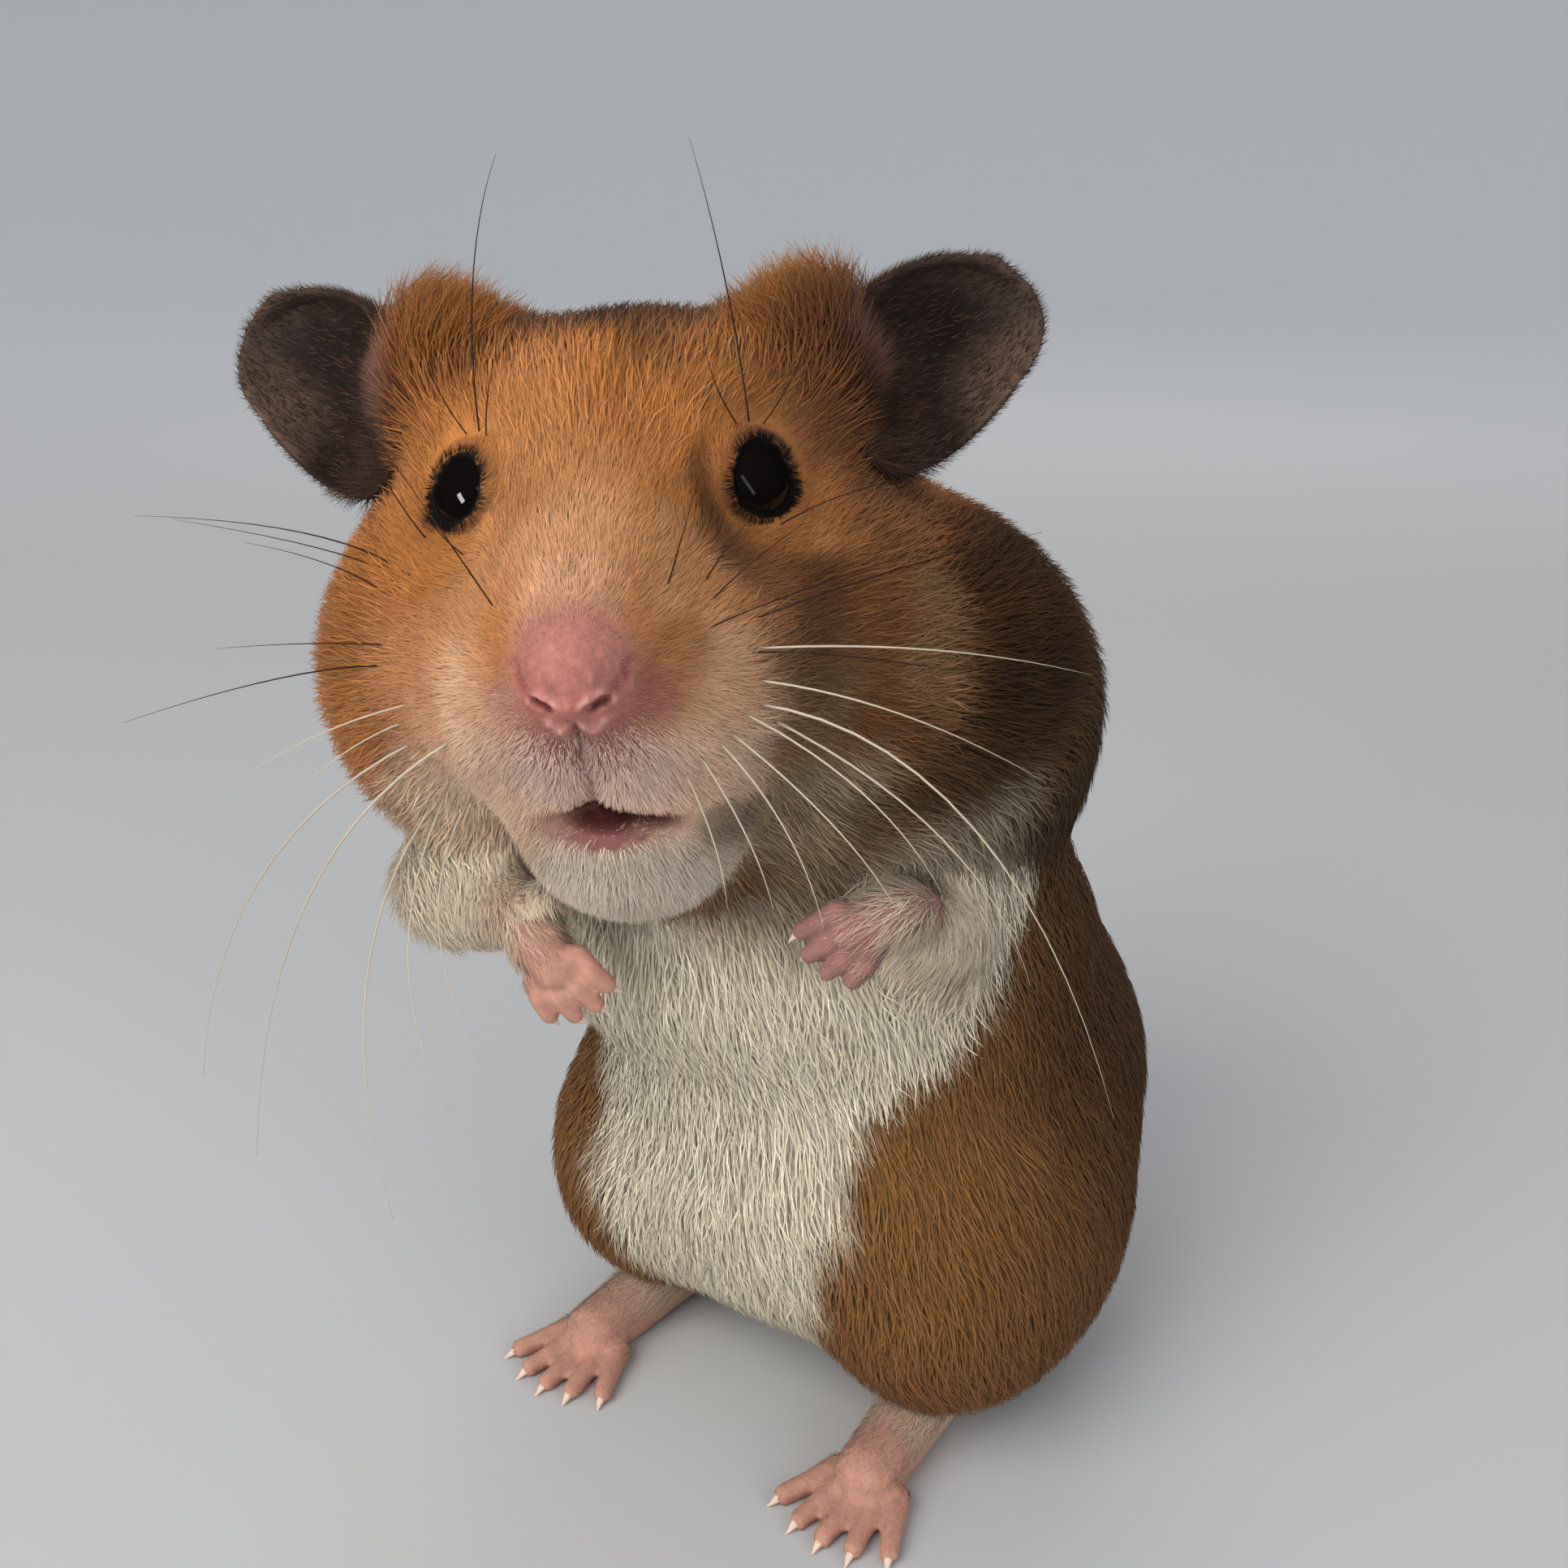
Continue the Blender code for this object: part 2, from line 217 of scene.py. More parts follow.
def modified(obj):
    """The mesh that an object's modifiers make; the object goes."""
    bpy.context.view_layer.update()
    graph = bpy.context.evaluated_depsgraph_get()
    made = bpy.data.meshes.new_from_object(obj.evaluated_get(graph))
    bpy.data.objects.remove(obj)
    return made


def remeshed(bm, voxel):
    obj = linked(finished(bm, "source"), "source")
    melt = obj.modifiers.new("melt", "REMESH")
    melt.mode, melt.voxel_size = "VOXEL", voxel * MM
    return modified(obj)


def add_ball(bm, centre, radius):
    size = Matrix.Diagonal((*(np.ones(3) * radius * MM), 1))
    shape = Matrix.Translation(Vector(np.asarray(centre) * MM)) @ size
    bmesh.ops.create_icosphere(bm, subdivisions=2, radius=1.0, matrix=shape)


def add_limb(bm, spots, radii):
    spots = [np.asarray(spot, float) for spot in spots]
    for start, end, first, last in zip(spots, spots[1:], radii, radii[1:]):
        steps = max(1, math.ceil(np.linalg.norm(end - start) / (0.35 * min(first, last))))
        for step in range(steps + 1):
            share = step / steps
            add_ball(bm, moved(start, end, share), moved(first, last, share))


# ---- where the body's parts lie, in the modelling frame ----
ARM = {  # shoulder, elbow and wrist
    "left": np.array([(9.0, -12.0, 52.0), (14.8, -12.4, 47.6), (16.2, -20.6, 51.6)]),
    "right": np.array([(-15.0, -18.0, 54.0), (-19.6, -29.6, 48.3), (-8.0, -34.2, 50.0)]),
}
ARM_RADII = {"left": (5.2, 4.1, 2.9), "right": (7.0, 4.9, 3.3)}
ARM_COAT = {"left": (-0.25, -0.35, -0.9), "right": (0.80, -0.35, -0.50)}  # the lie of the coat there
KNUCKLES = {"left": np.array([14.4, -23.9, 51.0]), "right": np.array([-3.4, -35.2, 47.5])}
FINGERTIPS = {"left": np.array([12.2, -26.6, 47.8]), "right": np.array([-0.6, -35.0, 43.4])}
PAW_SPAN = {"left": (0.75, 0.5, -0.5), "right": (0.72, 0.42, 0.55)}
HEEL, TOES = (14.0, -9.0, 2.7), (15.2, -29.0, 1.5)
TAIL = [(0, 21, 8), (0, 26.5, 4.2), (0, 31, 1.8)]
NECK_FRONT = (np.array([-5.0, -26.0, 53.5]), unit([0.36, -0.60, 0.715]))  # the plane behind the head
# In the head's frame:
NOSE = np.array([0.0, -19.6, -8.8])
EAR_ROOT, EAR_OUT = np.array([18.5, 9.5, 3.8]), np.array([0.86, 0.41, 0.29])
EAR_UP = np.array([-0.42, 0.27, 0.87])


def places(p):
    """What every rule about the skin and the coat reads at a place: the place in the head's frame
    (also mirrored) and the modelling frame, distances, and its shares of the body's parts."""
    h, m = to_head(p), p - STAND
    beyond = np.full(len(p), FAR)  # distance from the surface of the nearer arm
    for side in SIDES:
        for a, b, first, last in zip(ARM[side], ARM[side][1:], ARM_RADII[side], ARM_RADII[side][1:]):
            far, t = segment_distance(m, a, b)
            beyond = np.minimum(beyond, far - first - (last - first) * t)
    arm = smooth((2.8 - beyond) / 2.2) * smooth((56 - m[:, 2]) / 3) * (m[:, 1] < -11)
    return SimpleNamespace(
        h=h,
        m=m,
        even=np.stack([np.abs(h[:, 0]), h[:, 1], h[:, 2]], 1),
        nose=np.linalg.norm(h - NOSE, axis=1),
        head=smooth(((m - NECK_FRONT[0]) @ NECK_FRONT[1] + 1.5) / 5) * (1 - arm),
        arm=arm,
        wrist=np.min([np.linalg.norm(m - ARM[side][2], axis=1) for side in SIDES], axis=0),
        tail=smooth((6.0 - line_distance(m, TAIL)) / 2.0) * (m[:, 1] > 22),
    )


EYE_AXIS = unit([0.58, -0.77, 0.25])
EYE_UP = unit(np.array([0, 0, 1]) - EYE_AXIS * EYE_AXIS[2])
EYE_BACK = np.cross(EYE_UP, EYE_AXIS)
# Half the opening between the lids, in degrees from the eye's axis, by the turn round it: 0 is
# towards the ear, 90 up and 180 towards the nose. The head is turned, so the two eyes differ.
LIDS = {
    "left": ([-180, -135, -112, -76, -45, -20, 0, 21, 52, 88, 116, 140],
             [36, 42, 41, 43, 43, 36, 29, 27, 34, 37, 36, 34]),
    "right": ([-180, -150, -110, -75, -55, -30, 0, 20, 50, 80, 100, 120, 150],
              [42, 40, 36, 34, 30, 18, 11, 10, 12, 23, 37, 43, 44]),
}
CORNER = {"left": -48.0, "right": -58.0}  # where the lids' outer corner points
SHADE = {"left": 0.9, "right": 0.45}  # how much the fur round the eye darkens
CANTHUS = {"left": 2.0, "right": 13.0}  # how far the dark rim reaches there


def around_eye(h, side):
    """Distance from an eyeball's centre, degrees outside its lids, and how wide their dark rim is."""
    q = mirrored(h, side) - EYE_AT
    far = np.linalg.norm(q, axis=1)
    d = q / np.maximum(far, 1e-6)[:, None]
    angle = np.degrees(np.arccos(np.clip(d @ EYE_AXIS, -1, 1)))
    turn = np.degrees(np.arctan2(d @ EYE_UP, d @ EYE_BACK))
    corner = np.maximum(0, np.cos(np.radians(turn - CORNER[side]))) ** 8
    return far, angle - np.interp(turn, *LIDS[side], period=360), 4 + CANTHUS[side] * corner


def eyes(h):
    return [(side, *around_eye(h, side)) for side in SIDES]


# ---- the skin ----
FLESH = ["head", "lower_jaw", "nose", "neck", "trunk", "thigh_left", "thigh_right", "tail"]
LIMBS = ["foreleg_left", "foreleg_right"]
TIPS = ["ear_left", "ear_right", "forepaw_left", "forepaw_right", "hindfoot_left", "hindfoot_right"]
JOIN = 0.22  # how far each solid grows to close the cuts between them
BODY_VOXEL, PAW_VOXEL, FOOT_VOXEL = 0.73, 0.2, 0.32


def coat_depth(w):
    """How deep the coat is: the skin lies this far inside the solids."""
    head = np.interp(w.nose, [3, 5, 9, 18, 28, 40], [0.12, 0.25, 0.5, 0.7, 1.1, 1.5])
    depth = head * w.head + 0.85 * (1 - w.head)
    depth = moved(depth, np.interp(w.wrist, [2.5, 5, 9], [1.5, 0.7, 0.45]), w.arm)
    depth = moved(depth, 0.3, w.tail)
    for _, far, _, _ in eyes(w.h):
        depth = np.minimum(depth, np.interp(far, [3.6, 4.6, 8.5, 9.0], [0.0, 0.2, 0.8, 9.0]))
    return depth * (1 - 0.65 * smooth((6 - w.m[:, 2]) / 6))


def flesh_mesh():
    parts = []
    for name in FLESH + LIMBS + ["eye_left", "eye_right"]:
        part = bmesh_of(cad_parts[name].data)
        bmesh.ops.remove_doubles(part, verts=part.verts, dist=1e-6)
        part.normal_update()
        for v in part.verts:
            v.co += v.normal * JOIN * MM
        parts.append(finished(part, "part"))
    return remeshed(bmesh_of(*parts), BODY_VOXEL)


def inset(mesh, steps=6):
    co, tri, edge = arrays_of(mesh)
    co = relaxed(co, edge, 14)
    depth = relaxed(coat_depth(places(co)), edge, 20)
    for _ in range(steps):
        co = co - normals_of(co, tri) * (depth / steps)[:, None]
        co = relaxed(co, edge, 2, 0.4)
    put_back(mesh, co)


def refined(mesh, wanted):
    """Splits the faces whose middles a rule picks, each into four."""
    bm = bmesh_of(mesh)
    middles = np.array([f.calc_center_median() for f in bm.faces]) / MM
    faces = [f for f, keep in zip(bm.faces, wanted(to_head(middles))) if keep]
    edges = list({e for f in faces for e in f.edges})
    bmesh.ops.subdivide_edges(bm, edges=edges, cuts=1, use_grid_fill=True)
    bmesh.ops.triangulate(bm, faces=[f for f in bm.faces if len(f.verts) > 4])
    finished(bm, mesh)


def near_face(h):
    near = (h[:, 1] < -10) & (np.abs(h[:, 0]) < 9) & (h[:, 2] < -3) & (h[:, 2] > -23)
    for _, far, _, _ in eyes(h):
        near |= far < 6.1
    return near


def very_near(h):
    near = (h[:, 1] < -12.5) & (np.abs(h[:, 0]) < 6.4) & (h[:, 2] < -4.5) & (h[:, 2] > -21.5)
    for _, far, out, _ in eyes(h):
        near |= (far < 5.4) & (out > -14) & (out < 22)
    return near


# Lines of the muzzle in the head's front view, (x, z). Those of the nostril and its wing are mirrored.
NOSTRIL = [(1.25, -10.15), (1.55, -9.9), (2.0, -9.75)]
WING = [(2.2, -9.5), (3.0, -8.9), (3.5, -7.8)]
SEPTUM = [(-1.5, -11.2), (-0.7, -11.8), (0.15, -11.0), (1.0, -11.8), (1.8, -11.1)]
PHILTRUM = [(0.05, -11.2), (0.0, -14.0), (-0.1, -17.8)]
MOUTH = [(-3.1, -19.2), (-1.7, -18.7), (-0.4, -18.2), (0.9, -18.6), (2.6, -19.1), (4.6, -19.4), (7.0, -19.7)]
# Mounds and, below 0, hollows there: height, mirrored or not, middle and half-widths.
MOUNDS = [
    (0.35, False, (0, -7.0), (2.2, 2.64)),  # the nose pad
    (-0.30, True, (4.6, -9.2), (0.8, 2.0)),  # the crease beside it
    (0.45, True, (2.3, -15.0), (1.5, 2.2)),  # the upper lips
    (0.50, False, (0.9, -20.7), (3.4, 0.7)),  # the lower lip
    (-0.50, False, (0, -17.2), (0.8, 0.9)),  # the cleft of the upper lip
]


def front_views(h):
    """The front view's (x, z), as they are and mirrored."""
    return np.stack([h[:, 0], h[:, 2]], 1), np.stack([np.abs(h[:, 0]), h[:, 2]], 1)


def oval(flat, middle, half):
    """Distance in the front view, in half-widths of an oval."""
    return np.hypot((flat[:, 0] - middle[0]) / half[0], (flat[:, 1] - middle[1]) / half[1])


def muzzle_lines(h):
    """Distances in the front view from the nostrils, the philtrum and the mouth."""
    flat, even = front_views(h)
    pairs = [(even, NOSTRIL), (flat, PHILTRUM), (flat, MOUTH)]
    return [np.where(h[:, 1] < -10, line_distance(p, line), FAR) for p, line in pairs]


def sculpt(mesh):
    """Lids, nostrils, philtrum, lips and mouth."""
    co, tri, edge = arrays_of(mesh)
    n = normals_of(co, tri) @ HEAD_TURN
    h = to_head(co)
    nostril, philtrum, mouth = muzzle_lines(h)
    flat, even = front_views(h)
    x, y, z = h.T
    uneven = 1 + 0.5 * waves(h, 1.1, 35)
    grain = 0.06 * waves(h, 0.9, 33) + 0.05 * waves(h, 2.2, 34)
    push = 0.30 * bump(nostril - 0.6, 0.26) * smooth((z + 10.6) / 0.8) * uneven  # rim round the nostril
    push -= 0.6 * bump(nostril, 0.24) * smooth((3.0 - np.abs(x)) / 0.8)
    push += grain * bump(np.hypot(x, z + 8.0), 4.0)
    push -= 0.30 * bump(line_distance(even, WING), 0.32)
    push += 0.32 * bump(line_distance(flat, SEPTUM), 0.30) * uneven
    push += 0.25 * bump(x, 0.5) * smooth((z + 11.4) / 1.0) * smooth((-9.0 - z) / 0.8)
    push -= 0.55 * bump(philtrum, 0.38)
    for height, both, middle, half in MOUNDS:
        push += height * bump(oval(even if both else flat, middle, half), 1.0)
    depth = 1.6 * np.interp(x, [-3.6, -2.2, -0.8, 3, 6, 8], [0.1, 0.5, 1, 1, 0.3, 0.1])
    push -= bump(mouth, 0.5) * smooth((9 - np.abs(x)) / 3) * depth
    push -= 1.6 * smooth(1.5 - oval(flat, (0.5, -19.1), (2.2, 0.52)))  # the open mouth
    h = h + unit(n + np.array([0, -1.2, 0])) * (push * smooth((-y - 11) / 3))[:, None]
    for side in SIDES:
        far, out, _ = around_eye(h, side)
        ray = (h - mirrored(EYE_AT, side)) / np.maximum(far, 1e-6)[:, None]
        lid = EYE_R + 0.26 + 0.14 * bump(out - 6, 5)
        outer = moved(lid, np.maximum(far, EYE_R + 0.2), smooth((out - 4) / 34))
        target = np.where(out > 0, outer, np.interp(out, [-5, -0.5], [EYE_R - 1.3, EYE_R + 0.26]))
        h = h + ray * ((target - far) * smooth((8.2 - far) / 1.6))[:, None]
    co = from_head(h)
    fine = (mouth < 2) | (nostril < 2)
    put_back(mesh, np.where((near_face(h) & ~fine)[:, None], relaxed(co, edge, 2), co))


def ear_mesh(side, thickness=0.62, steps=44):
    """A dished, slightly wavy leaf with a rolled rim; the solid ear's shape, thinner and finer."""
    out, up = unit(mirrored(EAR_OUT, side)), mirrored(EAR_UP, side)
    up = unit(up - out * (up @ out))
    face = np.cross(out, up)
    face = -face if face[1] > 0 else face
    middle = mirrored(EAR_ROOT, side) + out * 5.4
    u, v = np.meshgrid(np.linspace(-1, 1, steps), np.linspace(-1, 1, steps), indexing="ij")
    along, across = u.ravel() * 0.985, v.ravel() * 0.985
    along, across = along * np.sqrt(1 - 0.42 * across**2), across * np.sqrt(1 - 0.42 * along**2)
    share = (along + 1) / 2
    rim = np.minimum(1, along**2 + across**2)
    fold = 0.35 * bump(across - 0.35 + 0.3 * along, 0.10) * smooth((0.5 - along) / 0.4)
    fold += 0.3 * bump(across + 0.25 - 0.25 * along, 0.12) * smooth((0.3 - along) / 0.4)
    roll = 0.9 * smooth((rim - 0.80) / 0.2) * smooth((across + 0.1) / 0.5)
    narrowing = np.where(across > 0, 0.12, 0.55)
    dish = -3.4 * (1 - rim) + 1.2 * np.maximum(0, across) ** 3 + fold + roll * 0.5
    height = across * 8.2 * (1 - narrowing * share) + 1.4 * share - roll
    spot = middle + out * (along * 9.4)[:, None] + up * height[:, None] + face * dish[:, None]
    index = np.arange(steps * steps).reshape(steps, steps)
    quads = np.stack([index[:-1, :-1], index[1:, :-1], index[1:, 1:], index[:-1, 1:]], -1)
    mesh = bpy.data.meshes.new("ear")
    mesh.from_pydata((from_head(spot) * MM).tolist(), [], quads.reshape(-1, 4).tolist())
    obj = linked(mesh, "ear")
    solid = obj.modifiers.new("solid", "SOLIDIFY")
    solid.thickness, solid.offset = thickness * MM, 0.0
    obj.modifiers.new("soft", "SMOOTH").iterations = 2
    return facing_out(modified(obj))


def forepaw_mesh(side, claws):
    elbow, wrist = ARM[side][1:]
    knuckles, tips = KNUCKLES[side], FINGERTIPS[side]
    reach = unit(tips - knuckles)
    span = np.array(PAW_SPAN[side])
    span = unit(span - reach * (span @ reach))
    curl = np.cross(span, reach)
    curl = curl if curl @ (wrist - np.array([0, -10, 48.0])) < 0 else -curl
    bm = bmesh.new()
    palm = [wrist + unit(elbow - wrist) * 2.0, wrist, wrist * 0.5 + knuckles * 0.5, knuckles]
    add_limb(bm, palm, [2.2, 1.9, 2.1, 1.7])
    for finger in range(4):
        spread = (finger - 1.5) / 1.5
        root = knuckles + span * spread * 1.9
        length = 3.9 - 0.9 * spread**2
        way = unit(reach + span * spread * 0.22)
        joint = root + way * length * 0.55
        tip = root + unit(way + curl * 0.22) * length * 0.98
        add_limb(bm, [moved(knuckles, root, 0.6), root, joint, tip], [1.15, 0.86, 0.78, 0.7])
        add_ball(bm, root + way * length * 0.5, 0.86)
        claws.append((tip + STAND, unit(tip - joint), 0.42, 1.35))
    mesh = remeshed(bm, PAW_VOXEL)
    co, _, edge = arrays_of(mesh)
    put_back(mesh, relaxed(co, edge, 3) + STAND)
    return mesh


def hind_foot_mesh(side, claws):
    heel, toes = mirrored(HEEL, side), mirrored(TOES, side)
    ball = moved(heel, toes, 0.62)
    bm = bmesh.new()
    add_limb(bm, [heel, ball], [3.1, 2.8])
    for toe in range(5):
        spread = (toe - 2) / 2
        root = ball + (spread * 2.8, 0, -0.9)
        tip = root + (spread * 2.2, -(6.4 - 1.7 * spread**2), -0.35)
        add_limb(bm, [ball * 0.5 + root * 0.5, root, root * 0.5 + tip * 0.5, tip], [1.5, 1.15, 0.95, 0.85])
        claws.append((tip + STAND, unit(tip - root + np.array([0, 0, -0.2])), 0.5, 1.7))
    mesh = remeshed(bm, FOOT_VOXEL)
    co, _, edge = arrays_of(mesh)
    co = relaxed(co, edge, 3) + STAND
    co[:, 2] = np.where(co[:, 2] < 0.35, 0.06 + np.maximum(co[:, 2], 0) * 0.3, co[:, 2])  # flat soles
    put_back(mesh, co)
    return mesh


# ---- markings ----
def tint(*rgb):
    """A colour given as the eye sees it, 0 to 255, as linear light."""
    c = np.array(rgb, float) / 255
    return np.where(c <= 0.04045, c / 12.92, ((c + 0.055) / 1.055) ** 2.4)


def painted(c, *coats):
    """Colours with others laid over them in turn: each is (tint, mask)."""
    for rgb, mask in coats:
        c = laid(c, tint(*rgb), mask)
    return c


# Patches of the head's coat, each laid over those before it: the space, the tint, the ellipsoid's
# centre, half-axes and softness, and the patch's share, or a share and what each side adds to it.
# Spaces of the head's frame: E mirrored with an uneven edge, U uneven only, P plain.
E, U, P = "even", "uneven", "plain"
PATCHES = [
    (E, (96, 66, 44), (0, 13, 11), (12, 8, 6), 0.5, 0.8),
    (U, (54, 36, 24), (0.5, 13, 11), (5, 8, 6), 0.5, 0.8),
    (U, (112, 72, 40), (1.8, 6, 8.5), (2.6, 5, 5.5), 0.5, 0.7),
    (U, (198, 134, 82), (-5.5, 1, 5.5), (4, 5, 4), 0.5, 0.6),
    (E, (128, 76, 34), (15, 11, 8), (6, 8, 7), 0.4, 0.85),
    (E, (134, 86, 46), (19, 2, -6), (7, 9, 6), 0.5, (0.35, 0.5, 0)),
    (E, (108, 70, 40), (17, -1, -14), (8, 9, 8), 0.5, (0.45, 0.5, 0)),
    # painted shade: this row and the next darken the fur towards the left ear
    (U, (132, 86, 48), (11, 2.5, 3.5), (5.5, 5, 5), 0.5, 0.75),
    (U, (98, 60, 32), (16.5, 7, 4), (5.5, 6, 6.5), 0.5, 0.8),
    (U, (178, 126, 72), (13, 8, 11.5), (4, 4, 2.6), 0.5, 0.6),
    (P, (200, 140, 88), (-3.5, -7.5, -0.8), (6.5, 8, 5.5), 0.5, 0.75),
    (P, (208, 154, 110), (-0.6, -12.5, -2.4), (3.8, 6.5, 3.8), 0.5, 0.85),
    (E, (190, 136, 92), (6.5, -10, -7.5), (4.2, 6, 4.2), 0.5, 0.75),
    (U, (186, 134, 88), (4.8, -10, -4.4), (2.6, 4, 4), 0.5, 0.7),
    (U, (88, 56, 33), (8.6, -6, -3.2), (2.5, 3.6, 3.4), 0.5, 0.8),
    (U, (84, 52, 30), (6.6, -3, -0.6), (1.7, 3, 3.4), 0.5, 0.75),
    (E, (206, 170, 142), (6.2, -12.5, -15), (5.4, 7.5, 6.4), 0.4, 1),
    (E, (206, 170, 142), (8.6, -9.5, -18), (5.6, 7.5, 5.4), 0.4, (0, 0, 1)),
    (E, (212, 182, 152), (11.5, -5.5, -22), (6, 7.5, 5), 0.45, (0.05, 0, 0.9)),
    (U, (178, 122, 80), (-12.2, -7.5, -11.8), (4.4, 6, 4.4), 0.5, 0.75),
    (U, (180, 126, 88), (-10.2, -9.5, -11.5), (2.8, 5, 4.6), 0.5, 0.55),
    (U, (116, 74, 40), (16.5, -5.5, -12.5), (5.2, 7, 6), 0.5, 0.85),
    (U, (104, 64, 34), (13, -7, -7), (3.8, 5.5, 3.6), 0.45, 0.9),
    (U, (196, 152, 112), (8.2, -13.4, -9.6), (3, 4.5, 3.2), 0.5, 0.8),
    (U, (150, 98, 58), (5.2, -15, -8.2), (2.2, 4, 2.6), 0.5, 0.8),
    (U, (118, 92, 62), (12.4, -9.3, -14), (3, 5, 6.4), 0.5, 0.85),
    (U, (146, 127, 103), (11.5, -6, -22.5), (7, 8, 5.4), 0.4, 0.9),
    (U, (90, 58, 33), (12.8, -8, -8.8), (2.2, 5, 4), 0.5, 0.75),
    (U, (156, 106, 62), (14.5, -4, -4.2), (3, 4.5, 2.2), 0.5, 0.65),
    (U, (118, 80, 48), (18, 4, -1), (3.2, 4.5, 3.2), 0.5, 0.6),
    (U, (84, 64, 44), (18.5, -3, -25.5), (5, 8, 5), 0.45, 0.9),
    (U, (64, 46, 28), (22, -1, -22), (3.6, 6, 5), 0.5, 0.85),
    (E, (44, 27, 12), (29, 7, -12), (7.8, 11, 12), 0.4, 0.94),
    (U, (50, 32, 17), (26.5, 3, -19), (5.2, 8, 6.5), 0.4, 0.9),
    (U, (140, 106, 72), (20.5, -1, -11.5), (2.4, 5, 5), 0.5, 0.6),
    (E, (60, 42, 27), (27, 10, -26), (9, 12, 9), 0.4, 0.8),
    (E, (92, 66, 42), (9, 2, -29), (16, 12, 4.5), 0.5, 0.95),
    (U, (210, 180, 152), (-11.5, -5, -24.5), (6, 7.5, 4.6), 0.45, 0.95),
    (U, (136, 112, 90), (-17, -2, -24.5), (3.4, 7, 4.5), 0.5, 0.8),
    (P, (200, 184, 166), (1, -12.5, -24.2), (7.6, 8, 4.6), 0.35, 1),
    (P, (206, 174, 160), (0.3, -16.5, -15.2), (5.4, 4.5, 3.6), 0.35, 0.9),
    (U, (118, 100, 84), (8.4, -11.5, -20.6), (2.8, 4.5, 2), 0.5, 0.75),
    (P, (136, 98, 90), (-3, -15.5, -19.4), (1.8, 3.5, 1.1), 0.6, 0.75),
    (P, (212, 160, 126), (-0.6, -16.2, -4.4), (3.2, 4, 2.6), 0.5, 0.8),
    (P, (172, 118, 104), (-0.1, -18.6, -7.8), (3.9, 5, 3.6), 0.5, 1),
    (P, (140, 92, 84), (4.5, -16.2, -10.4), (1.2, 3, 1.9), 0.6, 0.7),
    (P, (164, 114, 102), (-4.6, -16, -10.6), (1.2, 3, 1.8), 0.6, 0.6),
    (E, (176, 124, 76), (14, 11, 13), (6, 6, 3.2), 0.5, 0.5),
    # painted shade at the roots of the ears: this row and the next
    (U, (42, 27, 20), (19.2, 9, 4.5), (3.6, 6, 8.5), 0.4, 0.95),
    (U, (50, 33, 25), (-18.6, 8.5, 3.5), (2.9, 6, 7.5), 0.4, 0.9),
    (U, (122, 86, 76), (17.6, 9, 7.5), (1.2, 4, 2.4), 0.5, 0.55),
    (U, (128, 94, 84), (-17.4, 9, 7), (1.3, 4, 2.6), 0.5, 0.65),
]


def markings(w):
    """The coat's colour at the hair tips, with some painted shade."""
    h, m = w.h, w.m
    wobble = waves3(h, 7, 1, 2, 3) * 1.1
    spaces = {E: w.even + wobble, U: h + wobble, P: h}

    # The body: golden brown above, white below, darker towards the back (darker fur and painted shade), with
    # painted shade on the upper flanks.
    round_body = np.degrees(np.arctan2(np.abs(m[:, 0] + 1.5 + wobble[:, 0]), -(m[:, 1] - 1)))
    heights, degrees = [0, 12, 26, 33, 42, 50, 58, 66], [18, 24, 28, 34, 60, 76, 66, 40]
    limit = np.interp(m[:, 2] + wobble[:, 1], heights, degrees)  # where white ends, from the front
    white = smooth((limit - round_body) / 9 + 0.5)
    folded = np.stack([np.abs(m[:, 0] + 1), m[:, 1], m[:, 2]], 1)
    body = painted(
        np.tile(tint(124, 84, 46), (len(h), 1)),
        # darker towards the back: darker fur and painted shade
        ((98, 66, 38), smooth((m[:, 1] - 2) / 16) * 0.7),
        ((122, 78, 40), smooth((22 - m[:, 2]) / 16) * 0.6),
        ((212, 200, 175), white),
        ((230, 210, 182), w.arm),
        ((204, 166, 142), w.arm * smooth((4.5 - w.wrist) / 3) * 0.6),
        # painted shade on the upper flanks
        ((66, 42, 21), blob(folded, (25, 6, 44), (9, 17, 24)) * 0.75 * (1 - white)),
    )

    # The head: orange, pale on the bridge, cream round the mouth, dark behind the cheeks, with painted shade
    # towards the left ear and at the ears' roots.
    left, right = smooth(0.5 + h[:, 0] / 6), smooth(0.5 - h[:, 0] / 6)
    crown = smooth((spaces[E][:, 1] - 1) / 11) * smooth((spaces[E][:, 2] + 6) / 10)
    c = painted(np.tile(tint(178, 114, 60), (len(h), 1)), ((118, 78, 46), crown * 0.8))
    for space, rgb, centre, radii, soft, share in PATCHES:
        if isinstance(share, tuple):
            share = share[0] + share[1] * left + share[2] * right
        c = painted(c, (rgb, blob(spaces[space], centre, radii, soft) * share))
    head = c * (1 + 0.07 * waves(h, 4.0, 15) + 0.05 * waves(h, 1.4, 16))[:, None]

    # A dark patch runs from the cheek over the side of the neck. Painted shade darkens the fur under the left
    # cheek, over the top of the left foreleg.
    below = 1 - w.head
    # painted shade under the left cheek
    cheek_shade = smooth((m[:, 2] - 51.5 + wobble[:, 0]) / 3) * smooth((m[:, 0] - 7) / 4)
    c = painted(
        laid(body, head, w.head),
        ((74, 50, 30), blob(m, (20, -1, 61), (10, 11, 9), 0.4) * 0.85 * below),
        ((82, 58, 36), blob(m, (-24, -16, 62), (10, 11, 10), 0.4) * 0.8 * below),
        ((68, 51, 34), cheek_shade * smooth((5 - m[:, 1]) / 6) * 0.9 * below),
        ((206, 172, 154), w.tail),
    )
    for side, far, out, rim in eyes(h):
        edge = smooth((rim + 2.0 + 1.5 * waves(h, 0.9, 9) - out) / 3.5) * smooth((6.4 - far) / 1.2)
        c = painted(c, ((22, 15, 12), edge))
        c = laid(c, c * 0.62, smooth((rim + 18 - out) / 15) * smooth((7.4 - far) / 2.2) * SHADE[side])
    return np.clip(c, 0.004, 1)


